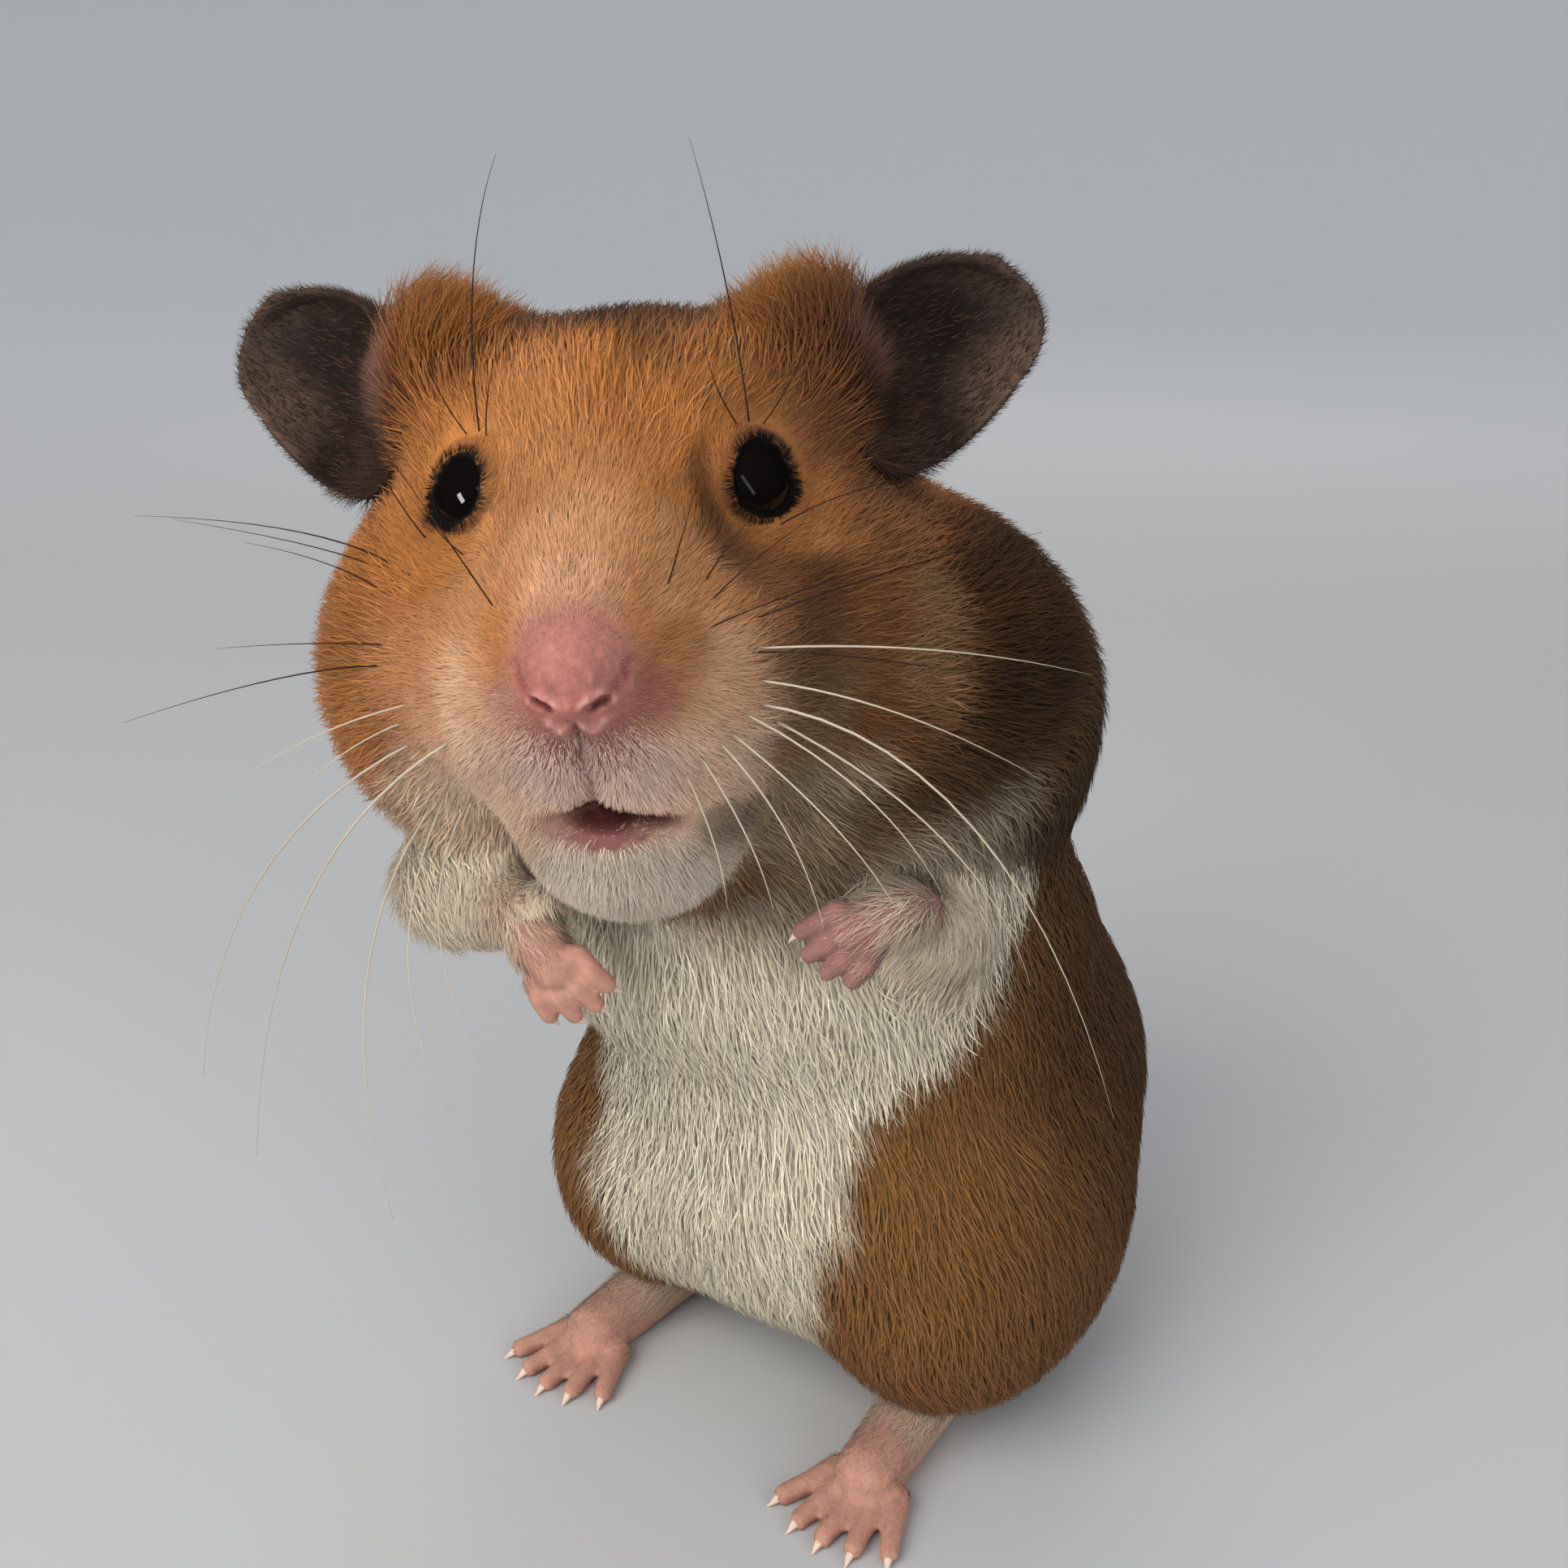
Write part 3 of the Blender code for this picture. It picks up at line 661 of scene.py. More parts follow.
def bare_skin(w):
    """Colour of the skin, with painted light and shade in places, and how bare it is."""
    h = w.h
    x, y, z = h.T
    flat, even = front_views(h)
    nostril, philtrum, mouth = muzzle_lines(h)
    pink = blob(h, (-0.1, -19.6, -8.0), (4.3, 5.0, 3.9), 0.3)
    lips = blob(h, (0.1, -17.6, -12.9), (5.4, 4.6, 4.2))
    patchy = np.clip(0.8 + 0.5 * waves(h, 0.9, 36), 0, 1)
    gape = smooth(1.5 - oval(flat, (0.5, -19.1), (2.5, 0.66))) * (y < -10)
    inside = np.maximum(bump(mouth, 0.55) * smooth((x + 3.4) / 2.4) * smooth((6.4 - x) / 2.6), gape)
    lower_lip = bump(oval(flat, (0.2, -20.1), (4.0, 1.1)), 1.0) * (y < -10) * (1 + 0.25 * waves(h, 0.7, 37))

    # painted light: the longer the hair, the lighter the skin under it, against the shade between the hairs
    c = markings(w) * np.interp(hair_length(w), [1.0, 3.6, 4.6], [0.95, 1.12, 1.4])[:, None]
    c = painted(
        c,
        ((130, 80, 80), lips * 0.95),
        ((162, 104, 93), pink),
        ((180, 122, 104), bump(oval(flat, (0, -6.2), (2.4, 1.9)), 1.0) * pink * 0.7),
    )
    c = painted(
        c * (1 + pink * (0.10 * waves(h, 0.9, 31) + 0.09 * waves(h, 0.4, 32)))[:, None],
        # painted highlight on the rim round each nostril
        ((204, 154, 140), bump(nostril - 0.6, 0.2) * smooth((z + 10.2) / 0.6) * pink * patchy),
        ((196, 142, 132), bump(line_distance(flat, SEPTUM), 0.32) * (y < -14) * patchy),
        ((140, 74, 74), bump(line_distance(even, WING), 0.4) * (y < -12) * patchy),
        # the nostrils' dark: their own colour and painted shade
        ((104, 48, 46), bump(nostril, 0.24) * smooth((2.8 - np.abs(x)) / 0.8)),
        ((126, 70, 72), bump(philtrum, 0.42) * 0.7),
        ((122, 80, 76), np.clip(lower_lip * 1.3, 0, 1)),
        # the open mouth: its own dark red and painted shade
        ((78, 36, 34), inside),
    )

    bare = np.max([pink * 0.45, lips * 0.25, inside, np.clip(lower_lip * 0.9, 0, 1)], axis=0)
    for _, far, out, _ in eyes(h):
        bare = np.maximum(bare, smooth((2 - out) / 1.5) * (far < 6.5))
    return np.clip(c, 0.002, 1), bare


# ---- materials ----
def node(tree, kind, inputs=(), **options):
    """A shader node, with values on its own sockets."""
    made = tree.nodes.new("ShaderNode" + kind)
    for socket, value in dict(inputs).items():
        made.inputs[socket].default_value = value
    for option, value in options.items():
        setattr(made, option, value)
    return made


def new_material(name, **inputs):
    made = bpy.data.materials.new(name)
    made.use_nodes = True
    surface = made.node_tree.nodes["Principled BSDF"]
    for socket, value in inputs.items():
        surface.inputs[socket.replace("_", " ")].default_value = value
    return made, made.node_tree, surface


def material(name, roughness, specular=0.5, sheen=0.0, coat=0.0, subsurface=0.0, vary=0.12, scale=900.0,
             bump_height=0.0, bump_scale=2500.0):
    """Colour from the markings, varied by fine noise, with a fine bump."""
    made, tree, surface = new_material(
        name, Roughness=roughness, Specular_IOR_Level=specular, Sheen_Weight=sheen, Sheen_Roughness=0.6,
        Coat_Weight=coat, Coat_Roughness=0.08, Subsurface_Weight=subsurface,
        Subsurface_Radius=(1.0, 0.35, 0.2), Subsurface_Scale=0.0012)
    link = tree.links.new
    colour = node(tree, "Attribute", attribute_name="marking")
    where = node(tree, "TexCoord")
    noise = node(tree, "TexNoise", {"Scale": scale, "Detail": 4.0})
    level = node(tree, "MapRange", {"To Min": 1.0 - vary, "To Max": 1.0 + vary})
    varied = node(tree, "VectorMath", operation="SCALE")
    link(where.outputs["Object"], noise.inputs["Vector"])
    link(noise.outputs["Fac"], level.inputs["Value"])
    link(colour.outputs["Color"], varied.inputs[0])
    link(level.outputs["Result"], varied.inputs["Scale"])
    link(varied.outputs["Vector"], surface.inputs["Base Color"])
    if bump_height:
        grain = node(tree, "TexNoise", {"Scale": bump_scale, "Detail": 3.0})
        raised = node(tree, "Bump", {"Strength": 0.6, "Distance": bump_height * MM})
        link(where.outputs["Object"], grain.inputs["Vector"])
        link(grain.outputs["Fac"], raised.inputs["Height"])
        link(raised.outputs["Normal"], surface.inputs["Normal"])
    return made


def paint(mesh, colour):
    layer = mesh.attributes.new("marking", "FLOAT_COLOR", "POINT")
    rgba = np.ones((len(mesh.vertices), 4), np.float32)
    rgba[:, :3] = colour
    layer.data.foreach_set("color", rgba.ravel())


def piece(mesh, name, look, replaced=()):
    obj = linked(mesh, name)
    mesh.materials.clear()
    mesh.materials.append(look)
    mesh.shade_smooth()
    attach(obj, "root")
    if replaced:
        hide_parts(*replaced)
    return obj


# ---- the coat ----
def ear_tuft(w):
    """1 in the long hair before the ears, 0 elsewhere."""
    return blob(w.even, (13.5, 10, 10), (5.6, 6.5, 5.5)) * w.head


def flow(w, n):
    """The lie of the coat: away from the nose over the head, down the body, out along the limbs."""
    h, m = w.h, w.m
    none = np.zeros(len(h))
    away = unit(h - (0, -19.5, -9.5))
    away = away + np.stack([none, none + 0.25, np.interp(h[:, 2], [-25, 0, 10], [-0.2, 0, -0.15])], 1)
    crest = np.stack([-0.5 * np.sign(h[:, 0]), none + 0.1, none + 1.1], 1)
    away = unit(away) + crest * ear_tuft(w)[:, None]  # the hair before the ears stands up
    head = unit(away) @ HEAD_TURN.T
    outward = 0.25 * np.clip((m[:, 0] + 1.5) / 9, -1, 1) * (m[:, 1] < -5)
    body = unit(np.stack([outward, 0.12 + 0.5 * smooth((20 - m[:, 2]) / 20), none - 1.0], 1))
    way = laid(body, head, smooth(w.head))
    for side, sign in SIDES.items():
        wrist = ARM[side][2]
        hand = smooth((5.5 - np.linalg.norm(m - wrist, axis=1)) / 3)[:, None] * (0.4 if sign > 0 else 1.0)
        leg = np.array(ARM_COAT[side]) * (1 - hand) + unit(FINGERTIPS[side] - wrist) * hand
        way = laid(way, leg, w.arm * (m[:, 0] * sign > 0))
    way = laid(way, np.array([0, 0.6, -0.75]), w.tail)
    way = unit(way) + 0.16 * waves3(h, 9, 21, 22, 23)
    for side, far, out, _ in eyes(h):  # the hair near an eye points away from it
        axis, q = mirrored(EYE_AXIS, side), h - mirrored(EYE_AT, side)
        apart = unit(q - (q @ axis)[:, None] * axis) @ HEAD_TURN.T
        inward = np.minimum(0, np.sum(way * apart, axis=1)) * smooth((46 - out) / 30) * (far < 11)
        way = way - apart * inward[:, None]
        way = laid(way, apart, smooth((12 - out) / 9) * (far < 8))
    return unit(way - n * np.sum(way * n, axis=1, keepdims=True))


def hair_length(w):
    h = w.h
    head = np.interp(w.nose, [2.5, 4.5, 6, 10, 18, 26, 34, 44], [0.35, 0.6, 1, 1.8, 2.8, 3.8, 4.6, 5.2])
    head = head + 2.4 * blob(w.even, (15, 9, 8), (5, 5, 5))
    root = blob(h, (18.8, 9, 6), (2.8, 5, 7), 0.35) + blob(h, (-18.2, 8.5, 4.5), (2.6, 5, 6.5), 0.35)
    head = head - np.maximum(0, head - 1.5) * np.minimum(1, root) * 0.8
    head = head + 1.3 * blob(h, (10.5, -10.5, -12), (2.5, 4, 6))
    body = np.interp(w.m[:, 2], [0, 8, 30], [3.2, 4.4, 5.2])
    long = head * w.head + body * (1 - w.head)
    long = moved(long, np.interp(w.wrist, [2, 5, 12], [1.8, 2.8, 4.4]), w.arm)
    for _, far, out, _ in eyes(h):
        long = np.where(far < 8, np.minimum(long, np.interp(out, [0, 12, 40], [0.9, 1.4, 3.2])), long)
    _, _, mouth = muzzle_lines(h)
    long = np.where(mouth < 2.5, np.minimum(long, np.interp(mouth, [0.4, 2.5], [0.35, 2.0])), long)
    return moved(long, 0.9, w.tail)


def hairs_per_mm2(w):
    head = np.interp(w.nose, [3, 8, 20, 30, 40], [42, 46, 36, 23, 16])
    count = head * w.head + 11.6 * (1 - w.head)
    count = moved(moved(count, 21.0, w.arm), 14.0, w.tail)
    for _, far, out, rim in eyes(w.h):
        count = moved(count, 70.0, smooth((rim + 9 - out) / 6) * (far < 6.5))
    count = count * (1 + 0.7 * ear_tuft(w))
    return count * (1 - 0.8 * smooth((2.2 - w.m[:, 2]) / 1.5))


def hair_width(w):
    head = np.interp(w.nose, [3, 10, 25, 38], [0.075, 0.095, 0.115, 0.13])
    wide = (head - 0.035 * ear_tuft(w)) * w.head + 0.13 * (1 - w.head)
    return moved(moved(wide, 0.11, w.arm), 0.10, w.tail)


def unwrapped(mesh, picked):
    """The picked faces, unwrapped over the whole square: places, triangles, map and skin normals."""
    bm = bmesh_of(mesh)
    drop = [f for f, keep in zip(bm.faces, picked) if not keep]
    bmesh.ops.delete(bm, geom=drop, context="FACES")
    made = finished(bm, "region")
    obj = linked(made, "region")
    bpy.context.view_layer.objects.active = obj
    obj.select_set(True)
    bpy.ops.object.mode_set(mode="EDIT")
    bpy.ops.mesh.select_all(action="SELECT")
    bpy.ops.uv.smart_project(angle_limit=math.radians(75), island_margin=0.006)
    bpy.ops.object.mode_set(mode="OBJECT")
    co, tri, _ = arrays_of(made)
    corners = read(made.loop_triangles, "loops", 3, np.int32)
    uv = read(made.uv_layers.active.data, "uv", 2)[corners]
    skin_normals = read(made.attributes["skin_normal"].data, "vector", 3)
    bpy.data.objects.remove(obj)
    return co, tri, uv, skin_normals


def scattered(co, tri, uv, normals, density):
    """Roots at random over triangles, as many as the density asks."""
    a, b, c = co[tri[:, 0]], co[tri[:, 1]], co[tri[:, 2]]
    area = np.linalg.norm(np.cross(b - a, c - a), axis=1) / 2
    expected = area * density(places((a + b + c) / 3)) * SHARE
    count = np.floor(expected + rng.random(len(expected))).astype(int)
    pick = np.repeat(np.arange(len(tri)), count)
    r1, r2 = np.sqrt(rng.random(len(pick))), rng.random(len(pick))
    weight = np.stack([1 - r1, r1 * (1 - r2), r1 * r2], 1)
    corners = (co[tri[pick]], normals[tri[pick]], uv[pick])
    root, normal, spot = (np.einsum("ij,ijk->ik", weight, v) for v in corners)
    return root, unit(normal), spot


BENT, STRAIGHT = [0.0, 0.46, 1.0], [0.0, 1.0]  # the rings along a long hair and a short one
BODY_ROUND = 22.0  # the radius that the coat bends round
HAIR_STEPS = 12  # steps along a hair where its bend is summed
NORMAL_SOFTNESS = 0.92  # how far a hair's shading follows the coat, not its own sides


def tufts(root, normal, way, spot, long, high, wide, dark, tip, levels, clump, wild):
    """Arrays for bent, tapered, three-sided tufts: corners, faces, colours, normals and map places."""
    n = len(root)
    tilt = rng.normal(0, wild, n)
    across = np.cross(normal, way)
    way = unit(way * np.cos(tilt)[:, None] + across * np.sin(tilt)[:, None])
    across = np.cross(normal, way)
    long = long * rng.uniform(0.72, 1.12, n)
    high = high * rng.uniform(0.6, 1.05, n)
    wide = wide * rng.uniform(0.65, 1.35, n)
    rise = np.arcsin(np.clip(high / long, 0.04, 0.93))
    bend = rng.normal(0, 0.12, n)
    angle = rise[:, None] * (1.75 - 1.5 * (np.arange(HAIR_STEPS) + 0.5) / HAIR_STEPS)
    forward = np.pad(np.cumsum(np.cos(angle), 1) / HAIR_STEPS, ((0, 0), (1, 0)))
    upward = np.pad(np.cumsum(np.sin(angle), 1) / HAIR_STEPS, ((0, 0), (1, 0)))
    points = []
    for level in levels:
        at = int(round(level * HAIR_STEPS))
        f, u = forward[:, at], upward[:, at]
        lift = long * u - (long * f) ** 2 / (2 * BODY_ROUND) - 0.06
        aside = bend * long * level**2
        points.append(root + way * (long * f)[:, None] + normal * lift[:, None] + across * aside[:, None])

    # Hairs of one tuft lean together at their tips.
    cells = np.stack([np.round(root[:, i] / 1.7 + waves(root, 2.3, 40 + i) * 0.8) for i in range(3)], 1)
    _, group = np.unique(cells, axis=0, return_inverse=True)
    group = group.ravel()

    def mean(values):
        size = np.bincount(group)
        return np.stack([np.bincount(group, values[:, i]) / size for i in range(3)], 1)[group]

    for j, level in enumerate(levels[1:], 1):
        points[j] = moved(points[j], mean(root) + mean(points[j] - root), clump * level**1.5)
    for p in points:
        p[:, 2] = np.maximum(p[:, 2], 0.08)

    rings, bow, shade, patch = [], [], [], []
    profile = np.interp(levels, [0, 0.35, 0.75, 1], [0.85, 1.0, 0.62, 0.0])
    for j, level in enumerate(levels[:-1]):
        along = unit(points[j + 1] - (points[j - 1] if j else points[j]))
        sideways = unit(np.cross(normal, along))
        upwards = np.cross(along, sideways)
        lit = unit(normal * 0.75 + upwards * 0.45) * NORMAL_SOFTNESS
        for corner in range(3):
            turn = 2 * math.pi * corner / 3
            spoke = sideways * math.cos(turn - math.pi / 2) + upwards * math.sin(turn - math.pi / 2) * 0.75
            rings.append(points[j] + spoke * (wide * 0.5 * profile[j])[:, None])
            bow.append(unit(spoke * (1 - NORMAL_SOFTNESS) + lit))
            shade.append(level)
            patch.append((math.cos(turn), math.sin(turn)))
    rings.append(points[-1])
    bow.append(unit(normal))
    shade, patch = np.array(shade + [1.0]), np.array(patch + [(0, 0)])
    per, last = len(rings), len(rings) - 4
    faces = [(0, 2, 1)]
    for j in range(0, last, 3):
        for corner in range(3):
            a, b = j + corner, j + (corner + 1) % 3
            faces += [(a, b, b + 3), (a, b + 3, a + 3)]
    faces += [(last + corner, last + (corner + 1) % 3, per - 1) for corner in range(3)]
    faces = (np.array(faces)[None] + (np.arange(n) * per)[:, None, None]).reshape(-1, 3)

    vary = (rng.normal(1.0, 0.15, n) * (1 + 0.08 * waves(root, 0.9, 50)))[:, None]
    warm = 1 + rng.normal(0, 0.03, (n, 1)) * np.array([[1, 0, -1.2]])
    tip = np.clip(tip * 1.1 * vary * warm, 0.003, 1)
    dark = np.clip(dark * 0.92 * vary, 0.002, 1)
    mix = (shade**0.8)[None, :, None]
    colour = dark[:, None, :] * (1 - mix) + tip[:, None, :] * mix
    uv = spot[:, None, :] + patch[None] * ((1 - shade) * 0.8 + 0.2)[None, :, None] * 0.0015
    flat = (np.stack(rings, 1), colour, np.stack(bow, 1))
    co, colour, bow = (v.reshape(-1, 3) for v in flat)
    return co, faces, colour, bow, uv.reshape(-1, 2)


def coat_piece(name, layers, look):
    """One mesh from the arrays of several layers of tufts."""
    start = np.cumsum([0] + [len(layer[0]) for layer in layers])
    co, faces, colour, bow, uv = (np.concatenate(v) for v in zip(*layers))
    faces = faces + np.repeat(start[:-1], [len(layer[1]) for layer in layers])[:, None]
    mesh = bpy.data.meshes.new(name)
    mesh.vertices.add(len(co))
    mesh.vertices.foreach_set("co", (co * MM).astype(np.float32).ravel())
    mesh.loops.add(faces.size)
    mesh.loops.foreach_set("vertex_index", faces.astype(np.int32).ravel())
    mesh.polygons.add(len(faces))
    mesh.polygons.foreach_set("loop_start", np.arange(0, faces.size, 3, dtype=np.int32))
    mesh.update(calc_edges=True)
    paint(mesh, colour)
    layer = mesh.uv_layers.new(name="OFBake")
    layer.data.foreach_set("uv", uv[faces.ravel()].astype(np.float32).ravel())
    keep_vectors(mesh, "custom_normal", bow)
    return piece(mesh, name, look)


def coat_density(w):
    _, naked = bare_skin(w)
    return hairs_per_mm2(w) * np.maximum(0, 1 - naked * 1.2)


def bent_share(w):
    """The share of the hairs that are bent: none where the coat is short."""
    return 0.42 * smooth((hair_length(w) - 2.6) / 2.4)


def fluff(w):
    """How much higher than elsewhere the coat stands: on the right cheek and before the ears."""
    cheek = 0.9 * blob(w.h, (-19, 0, -18), (6, 9, 9))
    return np.maximum(cheek, 1.4 * ear_tuft(w)) * w.head + 0.35 * w.arm


def coat_layer(region, share, levels, length, height):
    root, normal, spot = scattered(*region, lambda w: coat_density(w) * share(w))
    w = places(root)
    tips = markings(w)
    long = hair_length(w) * length
    high = np.minimum(coat_depth(w) * 1.15 + 0.3 + fluff(w), long * 0.7) * height
    dark = tips * np.interp(long, [1, 6], [1.0, 0.97])[:, None]
    way, wild = flow(w, normal), 0.15 + 0.2 * ear_tuft(w)
    return tufts(root, normal, way, spot, long, high, hair_width(w), dark, tips, levels, 0.12, wild)


# ---- building the skin and the coat ----
fur_look = material("fur", 0.62, specular=0.12, sheen=0.04, vary=0.08, scale=1400.0)
skin_look = material("skin", 0.66, specular=0.22, subsurface=0.12, vary=0.10, scale=700.0,
                     bump_height=0.12, bump_scale=2600.0)

body = flesh_mesh()
inset(body)
refined(body, near_face)
refined(body, very_near)
sculpt(body)
co, tri, edge = arrays_of(body)
keep_vectors(body, "skin_normal", relaxed(normals_of(co, tri), edge, 6))
paint(body, bare_skin(places(co))[0])

# Coat pieces: each face of the skin goes to the piece with the nearest centre.
HEAD_REGIONS = {
    "coat_muzzle": (0, -14, -12), "coat_forehead": (0, 2, 4),
    "coat_cheek_left": (19, 0, -12), "coat_cheek_right": (-19, 0, -12),
    "coat_crown": (0, 17, 8), "coat_jaw": (0, -5, -26),
    "coat_neck_left": (26, 16, -20), "coat_neck_right": (-22, 18, -20),
}
BODY_REGIONS = {
    "coat_chest": (-2, -26, 44), "coat_belly": (-1, -24, 24), "coat_back": (-2, 18, 52),
    "coat_rump": (-1, 25, 20), "coat_flank_left": (24, 0, 30), "coat_flank_right": (-26, 0, 30),
}
centres = [from_head(v) - STAND for v in HEAD_REGIONS.values()] + [np.array(v) for v in BODY_REGIONS.values()]
middles = read(body.polygons, "center", 3) / MM - STAND
owner = np.argmin(np.stack([np.linalg.norm(middles - c, axis=1) for c in centres], 1), axis=1)
for index, name in enumerate([*HEAD_REGIONS, *BODY_REGIONS]):
    region = unwrapped(body, owner == index)
    layers = [
        coat_layer(region, bent_share, BENT, 1.0, 1.0),
        coat_layer(region, lambda w: 1 - bent_share(w), STRAIGHT, 0.9, 0.85),
    ]
    coat_piece(name, layers, fur_look)


# ---- ears and paws, with their short hair ----
def ear_skin(w, n):
    h, even = w.h, w.even
    inner = smooth(-(n @ HEAD_TURN)[:, 1] * 2)
    c = painted(
        tint(44, 32, 27),
        ((84, 67, 58), smooth(((even - EAR_ROOT) @ unit(EAR_OUT) - 1) / 13)),
        ((32, 23, 20), blob(even, (23.5, 13, 5), (7, 8, 7), 0.4) * inner),
        ((106, 84, 69), blob(even, (29.5, 14.5, 2.5), (5, 7, 5)) * inner * 0.8),
        ((74, 48, 39), blob(even, (19, 10, 5), (3.6, 6, 6)) * inner * 0.6),
        ((104, 80, 64), 1 - inner),
    )
    return c * (1 + 0.12 * waves(h, 3.0, 5) + 0.10 * waves(h * (0.5, 0.5, 1.6), 1.6, 8))[:, None]


def heel_distance(w):
    return np.linalg.norm(w.m * (0, 1, 1) - (0, -9, 4), axis=1)


def paw_skin(w, co):
    low = w.m[:, 2]
    shaded = smooth(w.m[:, 0] / 4) * (low > 30)  # the left forepaw is duller: painted shade, as it lies under the chin
    heel = smooth((12 - heel_distance(w)) / 7) * (low < 20)
    c = painted(tint(182, 134, 114), ((146, 104, 97), shaded), ((186, 158, 132), heel * 0.6))
    return c * (1 + 0.08 * waves(co, 2.0, 6) + 0.06 * waves(co, 0.6, 7))[:, None]


def fringe(name, meshes, density, lift, wide, colour, length, way_of):
    """Short sparse hair over the ears or the paws."""
    both = finished(bmesh_of(*meshes), name)
    co, tri, _ = arrays_of(both)
    keep_vectors(both, "skin_normal", normals_of(co, tri))
    region = unwrapped(both, np.ones(len(both.polygons), bool))
    root, normal, spot = scattered(*region, lambda w: density)
    w = places(root)
    way = way_of(w)
    way = unit(way - normal * np.sum(way * normal, axis=1, keepdims=True))
    tips, long = colour(w, normal), length(w, normal)
    keep = rng.random(len(root)) < np.clip(long, 0, 1)
    root, normal, spot, way, tips, long = (v[keep] for v in (root, normal, spot, way, tips, long))
    wide = np.full(len(root), wide)
    layer = tufts(root, normal, way, spot, long, long * lift, wide, tips * 0.75, tips, STRAIGHT, 0.1, 0.25)
    coat_piece(name, [layer], fur_look)


def ear_front(n):
    """1 on the ear's dished front, 0 on its back."""
    return smooth(-(n @ HEAD_TURN)[:, 1] * 2 + 0.3)


def ear_way(w):
    way = np.where(w.h[:, :1] < 0, mirrored(EAR_OUT, "right"), EAR_OUT)
    way[:, 2] += (w.h[:, 2] - 7.0) * 0.09
    return way @ HEAD_TURN.T


def ear_reach(w):
    """0 at the ear's root to 1 at its tip."""
    return np.clip(((w.even - EAR_ROOT) @ unit(EAR_OUT) + 4) / 18.8, 0, 1)


def ear_hair(w, n):
    front, far = ear_front(n), ear_reach(w)
    grown = rng.random(len(far)) < 0.55 + 0.4 * smooth((0.35 - far) / 0.2)
    return moved(1.9 - 0.9 * far, grown * (1.1 + 1.6 * smooth((0.4 - far) / 0.3)), front)


def ear_colour(w, n):
    far = ear_reach(w)
    pale = (rng.random(len(far)) < 0.25) * 1.0  # a few hairs of the front
    front = painted(tint(44, 32, 27), ((92, 70, 56), pale), ((66, 44, 32), smooth((0.32 - far) / 0.3)))
    return laid(painted(tint(128, 90, 60), ((134, 110, 90), far)), front, ear_front(n))


def paw_way(w):
    way = np.tile(np.array([0.0, -1.0, -0.1]), (len(w.m), 1))
    for side in SIDES:
        near = np.linalg.norm(w.m - KNUCKLES[side], axis=1) < 10
        way[near] = unit(FINGERTIPS[side] - ARM[side][2])
    return way


def paw_hair(w, n):
    hand = np.interp(w.wrist, [2, 4, 6.5], [3.0, 2.0, 0.5]) * np.interp(w.wrist, [3, 7], [1, 0.8])
    foot = np.interp(heel_distance(w), [3, 9, 15], [3.0, 1.6, 0.6]) * smooth(n[:, 2] * 2 + 0.3)
    return np.where(w.m[:, 2] > 20, hand, foot)


def paw_colour(w, n):
    foot = smooth((12 - heel_distance(w)) / 6) * 0.8
    cream = np.where(w.m[:, 2] > 20, smooth((4.5 - w.wrist) / 3), foot)
    return painted(tint(196, 156, 136), ((222, 200, 172), cream))


claws = []
ears = [ear_mesh(side) for side in SIDES]
paws = [make(side, claws) for make in (forepaw_mesh, hind_foot_mesh) for side in SIDES]
for mesh in ears + paws:
    co, tri, _ = arrays_of(mesh)
    w = places(co)
    paint(mesh, np.clip(ear_skin(w, normals_of(co, tri)) if mesh in ears else paw_skin(w, co), 0.002, 1))
fringe("coat_ears", ears, 24.0, 0.5, 0.085, ear_colour, ear_hair, ear_way)
fringe("coat_paws", paws, 16.0, 0.3, 0.085, paw_colour, paw_hair, paw_way)
joined = finished(bmesh_of(body, *ears, *paws), "skin")
piece(joined, "skin", skin_look, FLESH + LIMBS + TIPS)

# ---- eyes ----
eye_look = material("wet_black", 0.04, specular=0.5, vary=0.25, scale=500.0)


def eye_piece(side):
    bm = bmesh.new()
    bmesh.ops.create_uvsphere(bm, u_segments=56, v_segments=36, radius=EYE_R * MM)
    mesh = finished(bm, "eye_" + side)
    co, _, _ = arrays_of(mesh)
    toward = unit(co) @ mirrored(EYE_AXIS, side)
    co = co * (1 + 0.035 * smooth((toward - 0.55) / 0.45))[:, None]  # the cornea stands proud
    paint(mesh, tint(14, 11, 10))
    put_back(mesh, from_head(co + mirrored(EYE_AT, side)))
    piece(mesh, "eyeball_" + side, eye_look, ["eye_" + side])


for side in SIDES:
    eye_piece(side)


# ---- whiskers and claws ----
def tubes(name, lines, look, sides=6):
    """Tapered tubes along lines: each is (points, radius at the root, colour)."""
    verts, faces, colours = [], [], []
    for points, radius, colour in lines:
        base, last = len(verts), len(points) - 1
        for i, p in enumerate(points):
            along = unit(points[min(i + 1, last)] - points[max(i - 1, 0)])
            first = unit(np.cross(along, (0.31, 0.2, 0.93)))
            second = np.cross(along, first)
            thick = radius * (1 - (i / last) ** 1.3) + 0.012
            for k in range(sides):
                t = 2 * math.pi * k / sides
                verts.append(p + (first * math.cos(t) + second * math.sin(t)) * thick)
                colours.append(colour)
        for i in range(last):
            for k in range(sides):
                a, b = base + i * sides + k, base + i * sides + (k + 1) % sides
                faces.append((a, b, b + sides, a + sides))
        faces.append(tuple(base + k for k in reversed(range(sides))))
        faces.append(tuple(base + last * sides + k for k in range(sides)))
    mesh = bpy.data.meshes.new(name)
    mesh.from_pydata((np.array(verts) * MM).tolist(), [], faces)
    facing_out(mesh)
    paint(mesh, np.array(colours))
    piece(mesh, name, look)


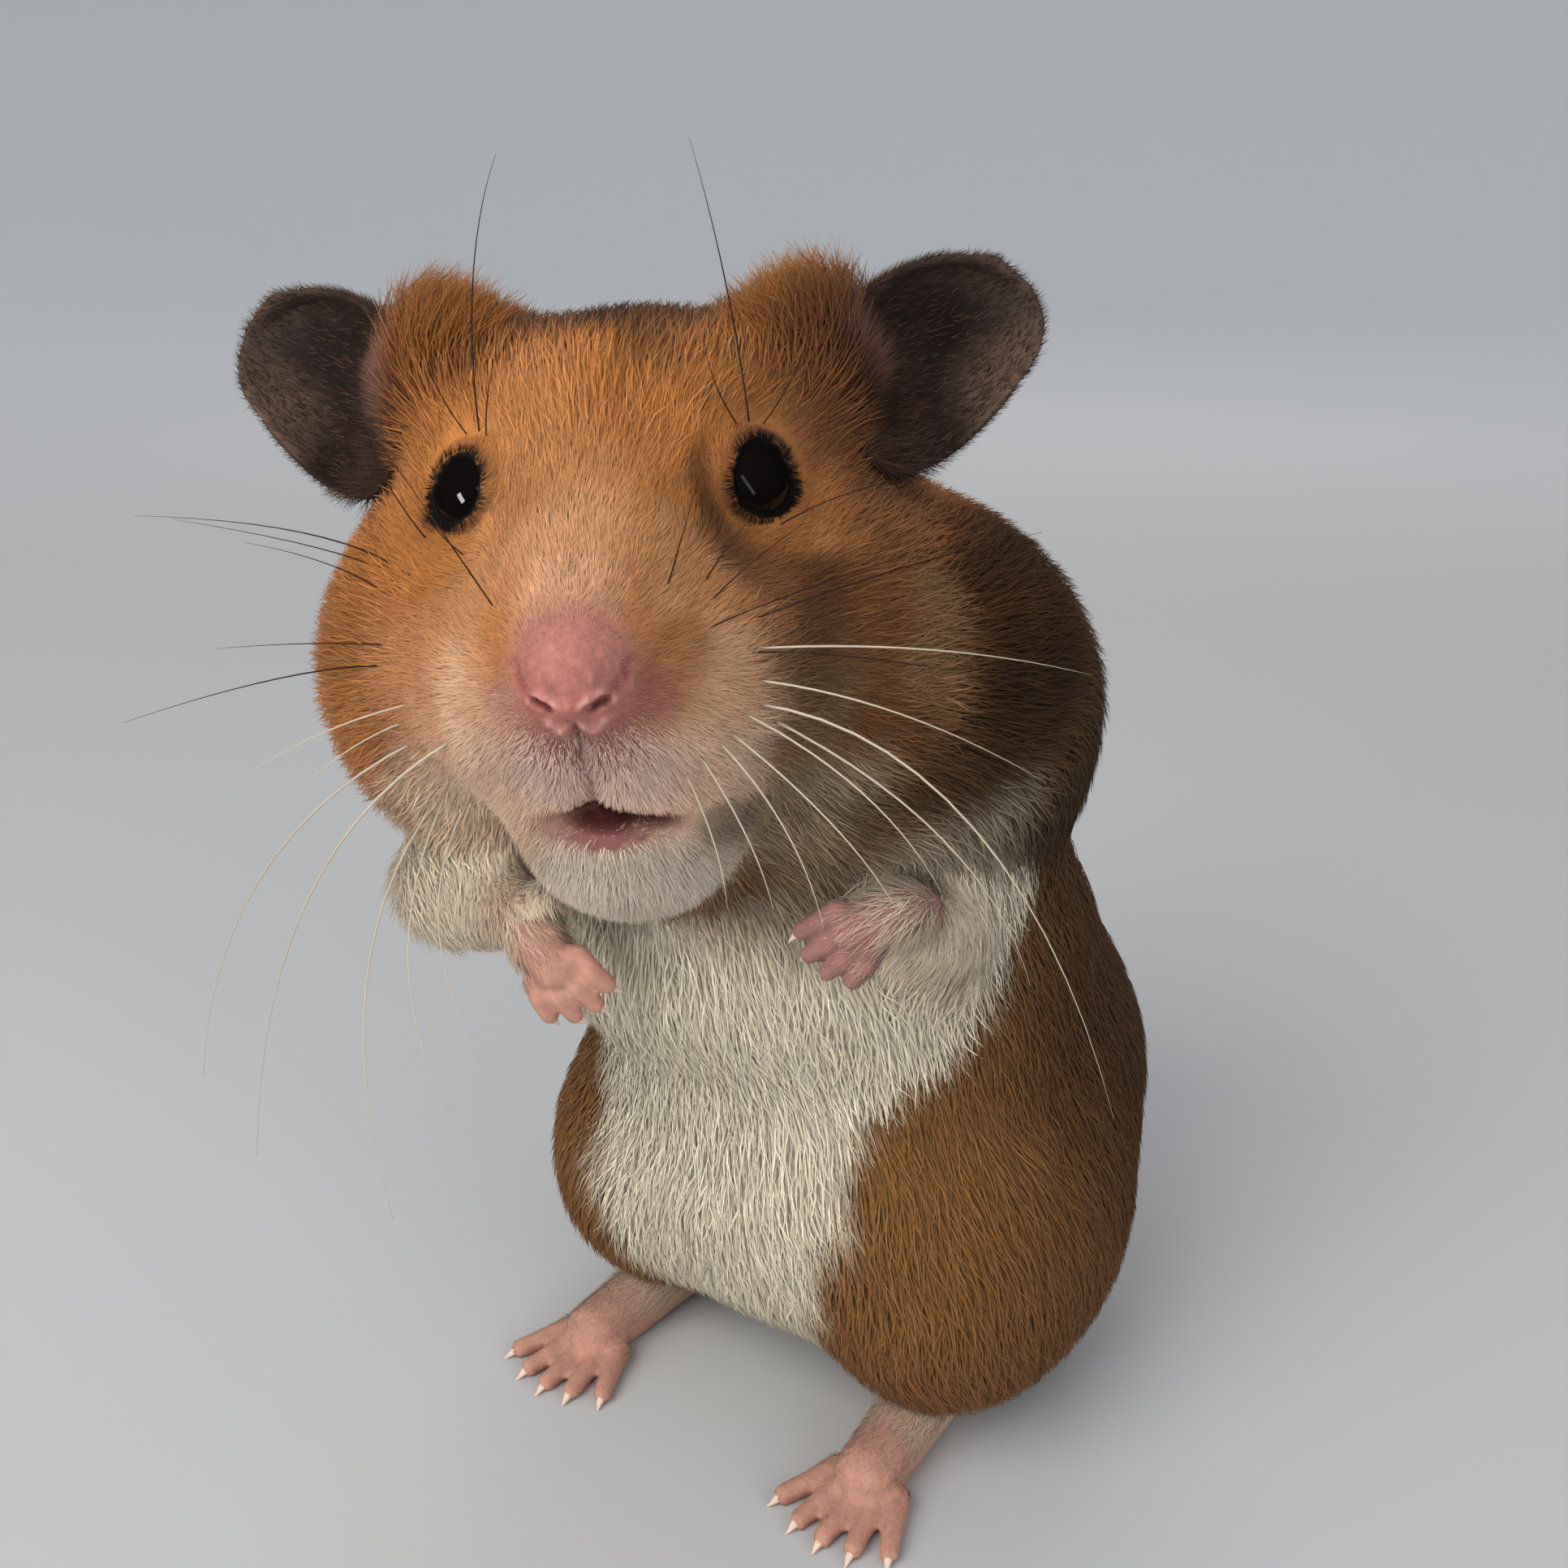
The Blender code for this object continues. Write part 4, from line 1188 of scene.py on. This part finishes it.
# Root, middle and tip of each in the head's frame; the animal's right side first.
DARK_WHISKERS = [
    (-12, -4.7, -6.4, -21.2, 2, -3.3, -39.3, 11.3, -2.7),
    (-11.4, -5.6, -7.3, -18.3, 0.1, -4.6, -34.7, 8.1, -2.6),
    (-12.3, -5.7, -8.2, -18.7, -0.9, -5.3, -28, 4.2, -3.8),
    (-13.4, -5.9, -9.6, -20.7, -2.4, -9.9, -30.9, 2.7, -11.3),
    (-13.9, -6.1, -10.8, -24.6, -1.3, -12.6, -40.3, 5.1, -17.5),
    (-5.8, -13.3, -5.2, -7.7, -14.8, -0.2, -11.6, -12.3, 4.9),
    (-9, -4.4, -4.1, -10.6, -5.6, -1.9, -12.5, -4.6, 0.4),
    (-13, -1.6, -2.8, -14.5, -2.5, 0.8, -16.4, 0.5, 3.7), (-9, 1.3, 3.5, -8.3, 1.8, 13.6, -7.5, 9, 21.6),
    (-10, 1.8, 3.5, -11, -0.3, 6.8, -12, 0.8, 9.9), (-8.4, 0.9, 3.3, -7.2, -2.2, 6.3, -6.3, -2.1, 9.3),
    (5.6, -12.4, -4.3, 6.7, -14.8, -1.1, 7.8, -14.1, 2.1),
    (7.5, -9.5, -4.8, 9, -11.2, -2.5, 10.9, -10.8, -0.5), (7.9, -10.9, -5.7, 10.7, -12.3, -3.2, 14, -12, -1),
    (8, -13, -6.8, 13.5, -14, -4.8, 20.5, -11, -3.4), (10.4, -12.1, -8.8, 16, -13.8, -9, 24, -11.1, -11.2),
    (11.6, -1.7, -2.7, 16, -2.9, -1, 20.4, -1.2, -0.4), (9.7, 1.5, 3.2, 8.5, 2.7, 12.7, 5.9, 10.1, 21.9),
    (10.5, 2.1, 3.2, 12.7, 0.1, 6.2, 14.3, 0.5, 9.9), (9.2, 0.8, 3.6, 7.9, -2.3, 6.6, 7.4, -2.3, 9.7),
    (10.6, -10.2, -6.8, 19.5, -9.8, -4.6, 29, -3, -4),
]
WHITE_WHISKERS = [
    (-13, -6.8, -14, -18.9, -7.2, -16.6, -24, -6.9, -20.7),
    (-13, -6.6, -15.5, -27.5, -4.4, -26.9, -36, -1.6, -44.5),
    (-9.3, -14.5, -13.7, -21.3, -11.8, -25.8, -29.5, -8.6, -47.5),
    (-14.3, -3.8, -22.2, -18.7, -9.7, -32.9, -17.8, -13.8, -49.6),
    (-12.8, -5, -20.8, -14.4, -12.4, -29.2, -11.5, -16.8, -39),
    (-10.8, -5.1, -20.8, -11.9, -12.6, -26.4, -9.1, -16.6, -35.4),
    (-12.4, -8.4, -12.6, -20.8, -8, -15.2, -29.6, -5.2, -20.4),
    (10.6, -11.5, -8.7, 21.5, -10.9, -9.6, 32.1, -5, -13.3),
    (10.8, -12.5, -10.7, 19.4, -14.6, -12.6, 28.5, -11.7, -18.4),
    (10.7, -12.7, -12.3, 23.7, -16.4, -19.6, 32.5, -16.7, -40.1),
    (10, -13.7, -12.6, 16.9, -20.5, -15.4, 21.4, -24.1, -20.4),
    (9.1, -14.6, -13.6, 15, -21.7, -16.7, 18.8, -26, -20.5),
    (8.4, -15.1, -14.2, 12.4, -22.1, -16.9, 14.7, -26.7, -21.3),
    (7.1, -15.3, -15.1, 10.1, -21.3, -17.7, 11.8, -25.4, -20.6),
    (6, -15.2, -16.2, 8, -20.1, -18.6, 8.9, -23.2, -21.5),
    (11.2, -11.5, -13.6, 21.8, -14.5, -21, 27.2, -15.4, -31),
]
WHISKER_X, WHISKER_Y = 42, -47  # where tips stop, to stay near the solids' box

hair_look = material("whisker", 0.38, specular=0.5, vary=0.08)
joined.calc_loop_triangles()
corners = [t.vertices[:] for t in joined.loop_triangles]
tree = BVHTree.FromPolygons([v.co for v in joined.vertices], corners)


def whisker(line, thick, colour):
    root, middle, tip = np.array(line, float).reshape(3, 3)
    spot, n, _, _ = tree.find_nearest(Vector(from_head(root) * MM))
    root = to_head(np.array(spot) / MM) - np.array(n) @ HEAD_TURN * 0.3
    knee = 2 * middle - (root + tip) / 2
    s = np.linspace(0, 1, 15)[:, None]
    points = from_head((1 - s) ** 2 * root + 2 * s * (1 - s) * knee + s**2 * tip)
    while np.abs(points[-1, 0]) > WHISKER_X or points[-1, 1] < WHISKER_Y:
        points = points[0] + (points - points[0]) * 0.97
    long = np.linalg.norm(np.diff(points, axis=0), axis=1).sum()
    return points, (0.045 + 0.0012 * long) * thick, colour


lines = [whisker(line, 0.85, tint(46, 30, 22)) for line in DARK_WHISKERS]
lines += [whisker(line, 1.0, tint(190, 176, 154)) for line in WHITE_WHISKERS]
tubes("whiskers", lines, hair_look)

claw_look = material("claw", 0.32, specular=0.5, coat=0.3, subsurface=0.1, vary=0.12)
nails = []
for tip, way, radius, length in claws:
    s = np.linspace(0, 1, 6)[:, None]
    droop = np.array([0, 0, -0.35]) if way[2] > -0.6 else np.array([0, 0.25, 0])
    points = tip - way * 0.1 + way * s * length + droop * s**2 * length
    points[:, 2] = np.maximum(points[:, 2], 0.25)
    nails.append((points, radius, tint(226, 196, 178)))
tubes("claws", nails, claw_look, 8)

# ---- stage, light and camera; lengths in metres ----
scene = bpy.context.scene
RIM, FLAT_REACH, FLOOR_REACH, WALL = 96, 0.8, 2.7, 1.5  # points on a ring; where it rises, ends, how high
out = np.concatenate([np.linspace(0.1, FLAT_REACH, 4), np.linspace(0.9, FLOOR_REACH, 19)])
turn = np.linspace(0, 2 * math.pi, RIM, endpoint=False)
rise = WALL * (np.maximum(0, out - FLAT_REACH) / (FLOOR_REACH - FLAT_REACH)) ** 2
level = np.repeat(rise[:, None], RIM, 1)
rings = np.stack([np.outer(out, np.cos(turn)), np.outer(out, np.sin(turn)), level], -1)
index = np.arange(len(out) * RIM).reshape(-1, RIM)
after = np.roll(index, -1, 1)
around = np.stack([index[:-1], after[:-1], after[1:], index[1:]], -1).reshape(-1, 4)
floor = bpy.data.meshes.new("floor")
floor.from_pydata(rings.reshape(-1, 3).tolist(), [], [index[0, ::-1].tolist()] + around.tolist())
floor.shade_smooth()
ground = linked(floor, "floor")
look, tree, surface = new_material("floor", Roughness=0.85)
where = node(tree, "TexCoord")
reach = node(tree, "VectorMath", operation="LENGTH")
# painted light: the floor is darker near the middle and paler farther out, against the lamps' falloff
limits = {"From Min": 0.2, "From Max": 1.0, "To Min": 0.50, "To Max": 0.80}
painted_floor_light = node(tree, "MapRange", limits, interpolation_type="SMOOTHSTEP")
tree.links.new(where.outputs["Object"], reach.inputs[0])
tree.links.new(reach.outputs["Value"], painted_floor_light.inputs["Value"])
tree.links.new(painted_floor_light.outputs["Result"], surface.inputs["Base Color"])
floor.materials.append(look)
ground.visible_glossy = False

world = bpy.data.worlds.new("studio")
scene.world = world
world.use_nodes = True
world.node_tree.nodes["Background"].inputs["Color"].default_value = (0.80, 0.84, 0.90, 1)
world.node_tree.nodes["Background"].inputs["Strength"].default_value = 0.60
world.cycles_visibility.glossy = False

# The camera looks from the animal's front left, a little above it. Its place puts the point between
# the eyes where the photograph has it.
AZIMUTH, ELEVATION, EYE_DISTANCE = math.radians(36), math.radians(20), 108.0
FRAME_PX, FOCAL_PX, EYES_PX = 1932, 1950.0, np.array([751, 595])
right = np.array([math.cos(AZIMUTH), math.sin(AZIMUTH), 0])
forward = np.array([math.sin(AZIMUTH), -math.cos(AZIMUTH), 0])
back = forward * math.cos(ELEVATION) + np.array([0, 0, math.sin(ELEVATION)])
above = np.cross(back, right)
offset = (EYES_PX - FRAME_PX / 2) / FOCAL_PX * EYE_DISTANCE
place = EYES - right * offset[0] + above * offset[1] + back * EYE_DISTANCE
camera = linked(bpy.data.cameras.new("camera"), "camera")
turned = Matrix(np.stack([right, above, back], 1).tolist()).to_4x4()
camera.matrix_world = Matrix.Translation(Vector(place * MM)) @ turned
camera.data.sensor_width = 36
camera.data.lens = 36 * FOCAL_PX / FRAME_PX
camera.data.clip_start, camera.data.clip_end = 0.005, 20
scene.camera = camera
CHEST = STAND + np.array([-4, -12, 55])

# Soft area lights that look at the chest: direction in the view, distance, size, width as a share of
# it, power, colour and whether the eyes mirror it. The narrow ones are the highlights in the eyes.
for name, way, distance, size, narrow, power, colour, mirror in [
    ("key", (-0.70, 0.55, 1.0), 0.60, 0.50, 1.0, 2.7, (1.0, 0.98, 0.95), False),
    ("fill", (0.75, 0.0, 1.0), 0.70, 0.50, 1.0, 1.5, (0.98, 0.99, 1.0), False),
    ("rim", (0.2, 1.3, -0.7), 0.80, 0.50, 1.0, 1.2, (1.0, 0.99, 0.97), False),
    ("spark", (-0.66, -0.26, 0.70), 0.40, 0.14, 0.5, 0.42, (1.0, 0.98, 0.93), True),
    ("window", (0.22, -0.28, 0.93), 0.60, 0.56, 0.13, 0.16, (0.80, 0.88, 1.0), True),
]:
    way = unit(right * way[0] + above * way[1] + back * way[2])
    data = bpy.data.lights.new(name, "AREA")
    data.shape, data.energy, data.color = "RECTANGLE" if mirror else "ELLIPSE", power, colour
    data.size, data.size_y = size * narrow, size
    lamp = linked(data, name)
    lamp.visible_glossy = mirror
    lamp.location = Vector(CHEST * MM) + Vector(way * distance)
    lamp.rotation_mode = "QUATERNION"
    lamp.rotation_quaternion = Vector(way).to_track_quat("Z", "Y")
    if mirror:
        lamp.rotation_quaternion = lamp.rotation_quaternion @ Quaternion((0, 0, 1), math.radians(35))
scene.view_settings.view_transform = "Standard"
